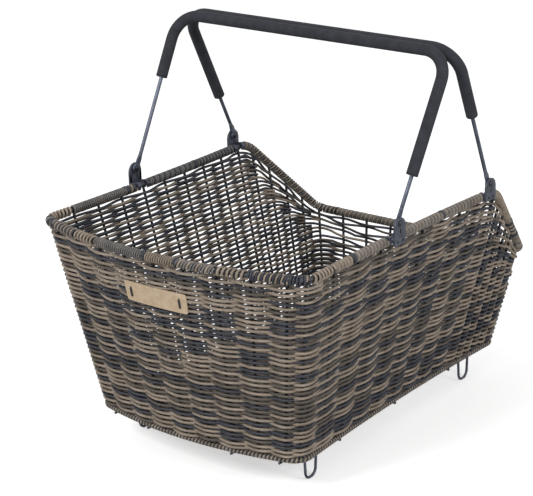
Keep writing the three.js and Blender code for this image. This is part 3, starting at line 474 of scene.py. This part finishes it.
floor_low, floor_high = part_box("base_weave")
FLOOR_REAR = floor_high[1] / MM - FRONT_Y
points_in_row = FLOOR_STAKES * FLOOR_STEPS
spacing = 2 * OUTER_STAKE_X / (FLOOR_STAKES - 1)
floor_runs = []
for i in range(FLOOR_STAKES):
    x = (2 * i / (FLOOR_STAKES - 1) - 1) * OUTER_STAKE_X
    line = [Vector((x, ring_front(x) + FLOOR_FRONT_GAP, 0)), Vector((x, FLOOR_REAR, 0))]
    floor_runs.append((line, FLOOR_STAKE_R, 2))
row = 0
y = floor_low[1] / MM - FRONT_Y + FLOOR_STRAND_R
while y < FLOOR_REAR - FLOOR_STRAND_R:
    half = ring_half(y) - FLOOR_END
    if y < RING_FRONT_Y + FLOOR_FRONT_GAP:
        bow = 1 - (RING_FRONT_Y - (y - FLOOR_FRONT_GAP)) / RING_FRONT_BOW
        half = min(half, RING_FRONT_HALF * math.sqrt(max(0, bow)))
    if half > FLOOR_LEAST_HALF:
        line = []
        for k in range(points_in_row + 1):
            x = -half + 2 * half * k / points_in_row
            line.append(Vector((x, y, FLOOR_SWING * math.cos(math.pi * (x / spacing + row)))))
        floor_runs.append((line, FLOOR_STRAND_R, random.choice(FINISH_ODDS[row // 2 % 2])))
    row += 1
    y += 2 * FLOOR_STRAND_R
fixed(tubes("woven_floor", floor_runs, WALL_FINISHES), "strand", "base_weave")


# Rim wraps: strand wound closely round the rim wire in stretches of fine turns and of thick rolls, with a
# black knot where one stretch ends. They stop at the four brackets and at the four open bindings.
BRACKET_Y = {"front": 141.3, "rear": 307.3}
BRACKET_HALF = 9.85
BINDING_HALF = 16.5
WRAP_R = 5.0
TURN_STEPS = 14
SIDE_X = 100  # the rim's sides lie further out than this
SEARCH_HALF = 12  # a place on a side is looked for this far to both sides of a distance
HALVINGS = 30


def rim_at_y(y, side):
    """The rim's length at which its right (1) or left (-1) side passes a distance behind the front."""
    marks = [m for m, p in zip(rim.marks, rim.points) if p.x * side > SIDE_X and abs(p.y - y) < SEARCH_HALF]
    low, high = min(marks), max(marks)
    for _ in range(HALVINGS):
        half = (low + high) / 2
        low, high = (half, high) if (rim.at(half).y < y) == (side > 0) else (low, half)
    return low


def middle_of_bay(wall, bay):
    """The rim's length halfway between two stakes of a wall."""
    a, b = SHARES[wall][bay:bay + 2]
    return RIM_ENDS[wall] + (RIM_ENDS[wall + 1] - RIM_ENDS[wall]) * (a + b) / 2


def coil(track, start, stop, pitch, centre_r, phase=0.0, steps=TURN_STEPS):
    """A line wound round a bent wire from one length to another."""
    points = []
    count = max(4, round((stop - start) / pitch * steps))
    for i in range(count + 1):
        s = start + (stop - start) * i / count
        along = track.along(s)
        side = Vector((along.y, -along.x, 0)).normalized()
        over = side.cross(along)
        angle = phase + 2 * math.pi * i / steps
        points.append(track.at(s) + centre_r * (math.cos(angle) * side + math.sin(angle) * over))
    return points


binding_at = {
    "front_left_binding": middle_of_bay(0, 2),
    "front_right_binding": middle_of_bay(0, 7),
    "right_corner_binding": middle_of_bay(1, 0),
    "left_corner_binding": middle_of_bay(3, len(SHARES[3]) - 2),
}
bracket_at = {(end, side): rim_at_y(y, side) for end, y in BRACKET_Y.items() for side in (1, -1)}
breaks = [(s, BINDING_HALF) for s in binding_at.values()]
breaks = sorted(breaks + [(s, BRACKET_HALF) for s in bracket_at.values()])
# Each stretch of a wrap: its length, the width of a turn, and the finishes of its strands. The last one fills
# what is left.
FINE, ROLL, THICK, LOOSE, BROAD = 2.8, 3.4, 4, 4.4, 5.2
THICK_SHARE, FINE_SHARE = 0.42, 0.37  # of a turn: a strand's radius, in turns wider than THICK and in others
END_SHARE = 0.8  # of its radius: how far a strand's centre line stays inside a stretch's end
KNOT_HALF, KNOT_TURN, KNOT_SINK, KNOT_STRAND_R = 1.6, 2.4, 1.1, 1.35
REST = 999  # longer than any wrap
BEIGE, GREY, DARK = 0, 1, 2
STRETCHES = {
    "rim_wrap_front": [(66, FINE, (GREY,)), (38, FINE, (BEIGE,)), (60, ROLL, (GREY, BEIGE, GREY))],
    "rim_wrap_front_right_corner": [(5, FINE, (DARK,)), (36, FINE, (BEIGE, DARK)), (12, FINE, (DARK,)),
                                    (13, LOOSE, (BEIGE, DARK)), (REST, THICK, (DARK,))],
    "rim_wrap_right_front": [(34, BROAD, (BEIGE,)), (66, FINE, (BEIGE, GREY)), (REST, LOOSE, (BEIGE, DARK))],
    "rim_wrap_right": [(76, FINE, (BEIGE, GREY)), (REST, FINE, (BEIGE, GREY))],
    "rim_wrap_rear": [(58, FINE, (BEIGE,)), (22, FINE, (BEIGE, DARK)), (150, FINE, (BEIGE, BEIGE, GREY)),
                      (120, FINE, (GREY, BEIGE)), (22, FINE, (BEIGE, DARK)), (120, FINE, (BEIGE, GREY)),
                      (REST, FINE, (BEIGE, GREY))],
    "rim_wrap_left": [(70, FINE, (GREY, DARK)), (REST, FINE, (GREY, GREY, DARK))],
    "rim_wrap_left_front": [(16, THICK, (DARK, BEIGE)), (REST, FINE, (GREY,))],
    "rim_wrap_front_left_corner": [(18, FINE, (DARK, DARK, BEIGE)), (REST, FINE, (BEIGE, DARK))],
}
WRAP_FINISHES = (BEIGE_STRAND, GREY_STRAND, DARK_STRAND)
for k, (name, stretches) in enumerate(STRETCHES.items()):
    start = breaks[k][0] + breaks[k][1]
    after = breaks[(k + 1) % len(breaks)]
    stop = after[0] - after[1] + (rim.length if k + 1 == len(breaks) else 0)
    runs = []
    for length, pitch, finishes in stretches:
        end = min(start + length, stop)
        strand_r = pitch * (THICK_SHARE if pitch > THICK else FINE_SHARE)
        starts = len(finishes)
        for turn, finish in enumerate(finishes):
            inset = strand_r * END_SHARE
            line = coil(rim, start + inset, end - inset, pitch * starts, WRAP_R - strand_r,
                        -turn * 2 * math.pi / starts)
            runs.append((line, strand_r, finish))
        if end < stop:
            line = coil(rim, end - KNOT_HALF, end + KNOT_HALF, KNOT_TURN, WRAP_R - KNOT_SINK)
            runs.append((line, KNOT_STRAND_R, DARK))
        start = end
        if start >= stop:
            break
    fixed(tubes(name.replace("wrap", "winding"), runs, WRAP_FINISHES), "light_strand", name)


# Open bindings: single loops of beige strand that stand apart on the bare rim wire near the front corners,
# one unbroken strand in each.
BINDING_LOOPS = 6
BINDING_PITCH = 4.9
BINDING_R = 3.75
BINDING_STRAND_R = 1.3
BINDING_PHASE = -1.4
BINDING_STEPS = 18
for name, middle in binding_at.items():
    half = BINDING_LOOPS * BINDING_PITCH / 2
    line = coil(rim, middle - half, middle + half, BINDING_PITCH, BINDING_R, BINDING_PHASE, BINDING_STEPS)
    piece = tubes(f"{name}_loops", [(line, BINDING_STRAND_R, 0)], [BEIGE_STRAND], 8)
    fixed(piece, "light_strand", name)


# Base ring wrap: two thin strands, one beige and one black, wound together round the base ring. The black
# one is the thinner and lies between the beige one's turns.
RING_STRANDS_R = (1.3, 0.75)
RING_WRAP_R = 3.1
RING_TURN = 4.1
RING_TURN_STEPS = 10
turns = round(ring.length / RING_TURN)
ring_runs = []
for turn, strand_r in enumerate(RING_STRANDS_R):
    line = coil(ring, 0, ring.length, ring.length / turns, RING_WRAP_R - strand_r, turn * math.pi,
                RING_TURN_STEPS)
    ring_runs.append((line, strand_r, turn))
fixed(tubes("base_ring_winding", ring_runs, (BEIGE_STRAND, DARK_STRAND)), "light_strand", "base_ring_wrap")


# Wires under the floor: three cross wires on the base ring, and below them two long wires and two rails whose
# ends step up to the ring. The wire is drawn steel with a thin zinc-grey coat.
WIRE_STEEL = mottled("zinc_grey_coated_wire", "#3E434F", "#626977", 20, 1.5, 0.04,
                     Roughness=0.38, Metallic=0.5)
WIRE_R = 1.4
WIRE_SIDES = 10
STEP_FROM, STEP_TO = 8, 16  # from a wire's end to where it starts to step, and to its lower run
STEP_BEND, STEP_BEND_STEPS = 5, 4
LONG_WIRE_X = 53
RAIL_FRONT_X, RAIL_REAR_X = 105, 95


def bent(corners, radius, steps=10):
    """An open line through corners, each bent round at a radius."""
    points = [corners[0]]
    for before, corner, after in zip(corners, corners[1:], corners[2:]):
        back, on = (before - corner).normalized(), (after - corner).normalized()
        turn = math.pi - back.angle(on)
        trim = radius * math.tan(turn / 2)
        reach = trim - radius * 4 * math.tan(turn / 4) / 3
        ends = [corner + back * trim, corner + back * reach, corner + on * reach, corner + on * trim]
        for k in range(steps + 1):
            t = k / steps
            shares = ((1 - t) ** 3, 3 * t * (1 - t) ** 2, 3 * t * t * (1 - t), t ** 3)
            points.append(sum((share * end for share, end in zip(shares, ends)), Vector()))
    return points + [corners[-1]]


def cad_box_mm(name):
    """A CAD node's box in millimetres from the front rim corners and the base ring."""
    low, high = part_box(name)
    return [Vector((p[0] / MM, p[1] / MM - FRONT_Y, p[2] / MM - RING_Z)) for p in (low, high)]


for end in ("front", "middle", "rear"):
    low, high = cad_box_mm(f"cross_wire_{end}")
    middle = (low + high) / 2
    line = [Vector((x, middle.y, middle.z)) for x in (low.x, high.x)]
    piece = tubes(f"floor_cross_wire_{end}", [(line, WIRE_R, 0)], [WIRE_STEEL], WIRE_SIDES)
    fixed(piece, "steel_wire", f"cross_wire_{end}")


def stepped(name, front_x, rear_x):
    """A wire as long as its CAD node, with both ends stepped up to the ring."""
    low, high = cad_box_mm(name)
    upper, lower = high.z - WIRE_R, low.z + WIRE_R
    stations = ((0, upper), (STEP_FROM, upper), (STEP_TO, lower))
    ends = [(low.y + d, z) for d, z in stations] + [(high.y - d, z) for d, z in reversed(stations)]
    lean = (rear_x - front_x) / (high.y - low.y)
    corners = [Vector((front_x + lean * (y - low.y), y, z)) for y, z in ends]
    return bent(corners, STEP_BEND, STEP_BEND_STEPS)


for side, name in ((-1, "left"), (1, "right")):
    wires = (
        (f"long_wire_{name}", LONG_WIRE_X, LONG_WIRE_X),
        (f"loop_rail_{name}", RAIL_FRONT_X, RAIL_REAR_X),
    )
    for node_name, front_x, rear_x in wires:
        line = stepped(node_name, side * front_x, side * rear_x)
        piece = tubes(f"floor_{node_name}", [(line, WIRE_R, 0)], [WIRE_STEEL], WIRE_SIDES)
        fixed(piece, "steel_wire", node_name)


# Wire loops: four narrow loops welded to the rails, which hold straps and which the basket stands on.
LOOP_HALF, LOOP_FOOT_HALF, LOOP_BEND = 10.5, 8.2, 7.5
LOOP_LEAN = 10 / 390  # sideways for each millimetre back, like the rails
for end in ("front", "rear"):
    for side, name in ((-1, "left"), (1, "right")):
        low, high = cad_box_mm(f"wire_loop_{end}_{name}")
        middle = (low + high) / 2
        lean = -side * LOOP_LEAN
        legs = ((-LOOP_HALF, high.z), (-LOOP_FOOT_HALF, low.z + WIRE_R), (LOOP_FOOT_HALF, low.z + WIRE_R),
                (LOOP_HALF, high.z))
        line = bent([Vector((middle.x + lean * d, middle.y + d, z)) for d, z in legs], LOOP_BEND)
        piece = tubes(f"strap_loop_{end}_{name}", [(line, WIRE_R, 0)], [WIRE_STEEL], WIRE_SIDES)
        fixed(piece, "steel_wire", f"wire_loop_{end}_{name}")


# Handle brackets: steel plates stamped with a slot and two small holes, their clips hooked over the bare rim
# wire. Powder coat gives them an even, near black skin with softened edges.
POWDER_COAT = mottled("black_powder_coated_steel", "#2A2E37", "#4A505E", 10, 0.8, 0.08, Roughness=0.45)
BRACKET_EDGE = 0.3
WELD = 0.02  # corners of a CAD mesh that are closer than this are one
FLAT_DEGREES, SHARP_DEGREES = 1, 40  # faces less apart than this are whole, edges more apart are rounded


def softened(cad_name, name, edge_mm, finish):
    """A copy of a CAD node with its flat faces made whole and its sharp edges rounded."""
    shape = bmesh.new()
    shape.from_mesh(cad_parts[cad_name].data)
    bmesh.ops.remove_doubles(shape, verts=shape.verts, dist=WELD * MM)
    bmesh.ops.dissolve_limit(shape, angle_limit=math.radians(FLAT_DEGREES), verts=shape.verts,
                             edges=shape.edges)
    piece = solid(name, shape, finish)
    bevel = piece.modifiers.new("rounded edges", "BEVEL")
    bevel.width = edge_mm * MM
    bevel.segments = 2
    bevel.limit_method = "ANGLE"
    bevel.angle_limit = math.radians(SHARP_DEGREES)
    bevel.harden_normals = True
    return piece


CORNERS = [f"{end}_{side}" for end in ("front", "rear") for side in ("left", "right")]
for corner in CORNERS:
    cad_name = f"handle_bracket_{corner}"
    piece = softened(cad_name, f"plate_{cad_name}", BRACKET_EDGE, POWDER_COAT)
    fixed(piece, "black_steel", cad_name)


# Pivot rivets: steel, with a round head inside the handle's eye and a spread tail outside the plate.
RIVET_STEEL = mottled("blackened_rivet_steel", "#2A2C31", "#474A52", 6, 0.7, 0.05,
                      Roughness=0.36, Metallic=0.7)
# radius, and distance outward from the pivot
RIVET_PROFILE = ((0, -2.8), (1.4, -2.75), (2.7, -2.45), (3.4, -1.95), (3.6, -1.4), (2.0, -1.4), (2.0, 3.7),
                 (3.2, 3.7), (3.15, 4.1), (2.4, 4.8), (1.2, 5.1), (0, 5.1))
RIVET_STEPS = 24
SPIN_WELD = 0.01  # corners that a spin leaves closer than this are one


def spun(name, profile, at, finish):
    """A turned piece on the X axis. The profile gives radius and x in millimetres from the point at."""
    shape = bmesh.new()
    verts = [shape.verts.new((x * MM, 0, r * MM)) for r, x in profile]
    for a, b in zip(verts, verts[1:]):
        shape.edges.new((a, b))
    bmesh.ops.spin(shape, geom=shape.verts[:] + shape.edges[:], axis=(1, 0, 0), cent=(0, 0, 0),
                   angle=2 * math.pi, steps=RIVET_STEPS, use_merge=True)
    bmesh.ops.remove_doubles(shape, verts=shape.verts, dist=SPIN_WELD * MM)
    bmesh.ops.recalc_face_normals(shape, faces=shape.faces)
    bmesh.ops.translate(shape, verts=shape.verts, vec=in_row(at))
    return solid(name, shape, finish)


PIVOT_X = 164.1
PIVOTS = {"front": Vector((0, 141.3, 217.9)), "rear": Vector((0, 307.3, 214.5))}
for corner in CORNERS:
    end, side = corner.split("_")
    sign = 1 if side == "right" else -1
    at = PIVOTS[end] + Vector((sign * PIVOT_X, 0, 0))
    profile = [(r, sign * x) for r, x in RIVET_PROFILE]
    piece = spun(f"rivet_{corner}", profile, at, RIVET_STEEL)
    fixed(piece, "black_steel", f"pivot_rivet_{corner}")


# Bail handles: one bent wire each, its two ends hammered flat into eyes that turn on the rivets. They stand
# up side by side, as in the photograph.
BARS_Z = 366.8
BARS_MIDDLE_Y, BARS_HALF_GAP = 230.6, 6.3
BARS_Y = {"front": BARS_MIDDLE_Y - BARS_HALF_GAP, "rear": BARS_MIDDLE_Y + BARS_HALF_GAP}
HANDLE_SPREAD = 4.4  # the bar is this much wider than the pivots at each end
HANDLE_R = 2.0
HANDLE_SIDES = 12
HANDLE_BEND, HANDLE_BEND_STEPS = 27, 16
EYE_NECK = 16  # from the hinge axis to where the wire is round
# radius, and distance from the eye's middle plane
EYE_RING = ((2.15, -0.8), (2.4, -1.1), (4.9, -1.1), (5.2, -0.8), (5.2, 0.8), (4.9, 1.1), (2.4, 1.1),
            (2.15, 0.8))
EYE_STEPS, STRAP_SIDES = 32, 16
# distance from the hinge axis, and half the strap's thickness and width there
EYE_STRAP = ((3.6, 1.05, 3.6), (6, 1.08, 3.9), (9, 1.1, 4.0), (11.5, 1.25, 3.5), (14, 1.75, 2.5),
             (17, 2.0, 2.0))


def hammered_eye(name, at, leg, finish):
    """A handle's flattened end: a ring round the pivot, and a strap that turns into the round wire."""
    shape = bmesh.new()
    verts = [shape.verts.new((x, 0, r)) for r, x in EYE_RING]
    for a, b in zip(verts, verts[1:] + verts[:1]):
        shape.edges.new((a, b))
    bmesh.ops.spin(shape, geom=shape.verts[:] + shape.edges[:], axis=(1, 0, 0), cent=(0, 0, 0),
                   angle=2 * math.pi, steps=EYE_STEPS, use_merge=True)
    bmesh.ops.remove_doubles(shape, verts=shape.verts, dist=SPIN_WELD)
    loop = bmesh.ops.create_circle(shape, cap_ends=True, segments=STRAP_SIDES, radius=1.0)["verts"]
    height, thin, wide = EYE_STRAP[0]
    bmesh.ops.scale(shape, verts=loop, vec=(thin, wide, 1))
    bmesh.ops.translate(shape, verts=loop, vec=(0, 0, height))
    for (h0, t0, w0), (h1, t1, w1) in zip(EYE_STRAP, EYE_STRAP[1:]):
        edges = list({e for v in loop for e in v.link_edges if all(w in loop for w in e.verts)})
        grown = bmesh.ops.extrude_edge_only(shape, edges=edges)["geom"]
        loop = [v for v in grown if isinstance(v, bmesh.types.BMVert)]
        bmesh.ops.translate(shape, verts=loop, vec=(0, 0, h1 - h0))
        bmesh.ops.scale(shape, verts=loop, vec=(t1 / t0, w1 / w0, 1))
    bmesh.ops.contextual_create(shape, geom=list({e for v in loop for e in v.link_edges
                                                  if all(w in loop for w in e.verts)}))
    bmesh.ops.recalc_face_normals(shape, faces=shape.faces)
    turn = Vector((0, 0, 1)).rotation_difference(leg).to_matrix().to_4x4()
    place = Matrix.Translation(in_row(at)) @ turn @ Matrix.Scale(MM, 4)
    bmesh.ops.transform(shape, matrix=place, verts=shape.verts)
    return solid(name, shape, finish)


bars = {}
for end in ("front", "rear"):
    pivot = PIVOTS[end]
    top = Vector((0, BARS_Y[end], BARS_Z))
    leg = (top - pivot).normalized()
    neck = pivot + leg * EYE_NECK
    corners = [neck + Vector((-PIVOT_X, 0, 0)), top + Vector((-PIVOT_X - HANDLE_SPREAD, 0, 0)),
               top + Vector((PIVOT_X + HANDLE_SPREAD, 0, 0)), neck + Vector((PIVOT_X, 0, 0))]
    bars[end] = bent(corners, HANDLE_BEND, HANDLE_BEND_STEPS)
    body = f"{end}_bail"
    bail = tubes(f"{end}_bail_wire", [(bars[end], HANDLE_R, 0)], [WIRE_STEEL], HANDLE_SIDES)
    fixed(bail, "steel_wire", f"{end}_handle", body=body)
    for sign, side in ((-1, "left"), (1, "right")):
        at = pivot + Vector((sign * PIVOT_X, 0, 0))
        eye = hammered_eye(f"{end}_eye_{side}", at, leg, WIRE_STEEL)
        fixed(eye, "steel_wire", f"{end}_handle", body=body)


# Foam sleeves: tubes of closed-cell foam pushed over the bars, each a little off the bar's middle. Matt,
# nearly black, with fine pores.
FOAM = mottled("closed_cell_foam", "#24262B", "#34373E", 9, 0.6, 0.12, Roughness=0.92)
GRIP_R = 6.0
GRIP_LENGTH = 505
GRIP_SLIDE = {"front": 26.4, "rear": -16.5}  # from the bar's middle to the sleeve's
GRIP_STEP = 2
GRIP_SIDES = 20
GRIP_ROUND = 0.6  # the ends' edges are this much narrower
GRIP_LIP = 0.02  # of a step: how far the narrower ends lie past the sleeve's own


def stretch(points, slide, length, step):
    """A part of a line, as even steps. Its middle lies a little past the line's own."""
    marks = [0]
    for a, b in zip(points, points[1:]):
        marks.append(marks[-1] + (b - a).length)

    def at_length(s):
        i = max(j for j in range(len(marks) - 1) if marks[j] <= s)
        return points[i].lerp(points[i + 1], (s - marks[i]) / (marks[i + 1] - marks[i]))

    start = marks[-1] / 2 + slide - length / 2
    count = round(length / step)
    return [at_length(start + length * i / count) for i in range(count + 1)]


for end, bar in bars.items():
    sleeve = stretch(bar, GRIP_SLIDE[end], GRIP_LENGTH, GRIP_STEP)
    sleeve = [sleeve[0].lerp(sleeve[1], -GRIP_LIP)] + sleeve + [sleeve[-1].lerp(sleeve[-2], -GRIP_LIP)]
    radii = [GRIP_R - GRIP_ROUND] + [GRIP_R] * (len(sleeve) - 2) + [GRIP_R - GRIP_ROUND]
    grip = tubes(f"{end}_foam_sleeve", [(sleeve, radii, 0)], [FOAM], GRIP_SIDES)
    fixed(grip, "foam", f"{end}_grip", body=f"{end}_bail")


# Leather patch: a strip of bare tan leather, cut with rounded corners and bent to the wall. Its back lies on
# the humps of the strands.
LEATHER = mottled("bare_tan_leather", "#B09A7E", "#C9B498", 7, 0.9, 0.25, Roughness=0.7)
PATCH_DROP, PATCH_HALF, PATCH_HIGH, PATCH_THICK = 41.2, 37.25, 21, 1.8
PATCH_MIDDLE = 5  # the stake behind its middle
PATCH_CORNER = 2.5
PATCH_GRID = (40, 14)
CUT_EDGE, CUT_DEGREES = 0.35, 50
patch_share = 1 - PATCH_DROP / RIM_HEIGHT
PATCH_OUT = 4.0  # its back lies on the strands' humps, this far out from the stakes' line
patch_bay = wall_point(PATCH_MIDDLE + 1, patch_share * RIM_HEIGHT, 0).x


def on_patch(x, rise, outward):
    """A place on the front wall, from the middle of the patch."""
    return wall_point(PATCH_MIDDLE + x / patch_bay, patch_share * RIM_HEIGHT + rise, outward)


shape = bmesh.new()
bmesh.ops.create_grid(shape, x_segments=PATCH_GRID[0], y_segments=PATCH_GRID[1], size=1)
for vert in shape.verts:
    x, rise = vert.co.x * PATCH_HALF, vert.co.y * PATCH_HIGH / 2
    past_x = max(abs(x) - PATCH_HALF + PATCH_CORNER, 0)
    past_rise = max(abs(rise) - PATCH_HIGH / 2 + PATCH_CORNER, 0)
    past = math.hypot(past_x, past_rise)
    if past > PATCH_CORNER:
        x -= math.copysign(past_x * (1 - PATCH_CORNER / past), x)
        rise -= math.copysign(past_rise * (1 - PATCH_CORNER / past), rise)
    vert.co = in_row(on_patch(x, rise, PATCH_OUT + PATCH_THICK / 2))
patch = solid("leather_strip", shape, LEATHER)
wall_of_leather = patch.modifiers.new("thickness", "SOLIDIFY")
wall_of_leather.thickness = PATCH_THICK * MM
wall_of_leather.offset = 0
cut_edge = patch.modifiers.new("cut edge", "BEVEL")
cut_edge.width = CUT_EDGE * MM
cut_edge.segments = 2
cut_edge.limit_method = "ANGLE"
cut_edge.angle_limit = math.radians(CUT_DEGREES)
fixed(patch, "leather", "leather_patch")


# Stitches: waxed black cord, each a staple over the patch with both legs through it and into the weave.
WAXED_CORD = mottled("waxed_black_cord", "#141519", "#2C2E34", 5, 0.5, 0.15, Roughness=0.5)
STITCH_X, STITCH_HALF, STITCH_R = 29.25, 4.75, 1.0
STITCH_END = -5  # how far out from the stakes' line its legs end
STITCH_SEAT = 0.8  # of its radius: how far its centre line lies over the leather
STITCH_BEND, STITCH_BEND_STEPS, STITCH_SIDES = 1.5, 6, 8
for sign, side in ((-1, "left"), (1, "right")):
    front = PATCH_OUT + PATCH_THICK + STITCH_R * STITCH_SEAT
    legs = ((STITCH_HALF, STITCH_END), (STITCH_HALF, front),
            (-STITCH_HALF, front), (-STITCH_HALF, STITCH_END))
    ends = [on_patch(sign * STITCH_X, rise, outward) for rise, outward in legs]
    line = bent(ends, STITCH_BEND, STITCH_BEND_STEPS)
    piece = tubes(f"patch_stitch_{side}", [(line, STITCH_R, 0)], [WAXED_CORD], STITCH_SIDES)
    fixed(piece, "dark_strand", f"patch_tie_{side}")


# Floor and light: a plain pale floor that runs out of sight, and soft light from two large lamps and the
# sky. The camera sees floor and sky brighter than they light the basket, so the background stays white.
FLOOR_HALF = 12  # metres
FLOOR_GLOW = 0.55
SKY_LIGHT, SKY_SEEN = 0.38, 1.0
LAMPS_AIM = Vector((0, 0, 0.2))
paint = {"Base Color": colour("#F6F6F6"), "Roughness": 0.9}
floor_paint, tree, shader = material("pale_floor_paint", **paint)
seen = node(tree, "ShaderNodeLightPath").outputs["Is Camera Ray"]
glow = node(tree, "ShaderNodeMapRange", {"Value": seen, "To Max": FLOOR_GLOW})
shader.inputs["Emission Color"].default_value = (1, 1, 1, 1)
tree.links.new(glow.outputs[0], shader.inputs["Emission Strength"])
shape = bmesh.new()
bmesh.ops.create_grid(shape, x_segments=1, y_segments=1, size=FLOOR_HALF)
floor = solid("floor", shape, floor_paint)

world = bpy.data.worlds.new("studio")
bpy.context.scene.world = world
world.use_nodes = True
world.node_tree.nodes.clear()
path = node(world.node_tree, "ShaderNodeLightPath")
rays = {0: path.outputs["Is Camera Ray"], 1: path.outputs["Is Glossy Ray"]}
seen = node(world.node_tree, "ShaderNodeMath", rays, operation="MAXIMUM")
share = {"Value": seen.outputs[0], "To Min": SKY_LIGHT, "To Max": SKY_SEEN}
strength = node(world.node_tree, "ShaderNodeMapRange", share)
sky = node(world.node_tree, "ShaderNodeBackground", {"Color": (1, 1, 1, 1), "Strength": strength.outputs[0]})
node(world.node_tree, "ShaderNodeOutputWorld", {"Surface": sky.outputs[0]})


def lamp(name, at, size, power):
    """A square lamp that shines on the basket: its side in metres and its power in watts."""
    light = bpy.data.lights.new(name, "AREA")
    light.size = size
    light.energy = power
    made = bpy.data.objects.new(name, light)
    made.location = at
    made.rotation_euler = (LAMPS_AIM - made.location).to_track_quat("-Z", "Y").to_euler()
    bpy.context.scene.collection.objects.link(made)


lamp("key_lamp", Vector((-0.4, -2.4, 2.1)), 0.9, 42)
lamp("fill_lamp", Vector((2.5, -0.3, 1.6)), 1.0, 24)

bpy.context.scene.view_settings.view_transform = "Standard"
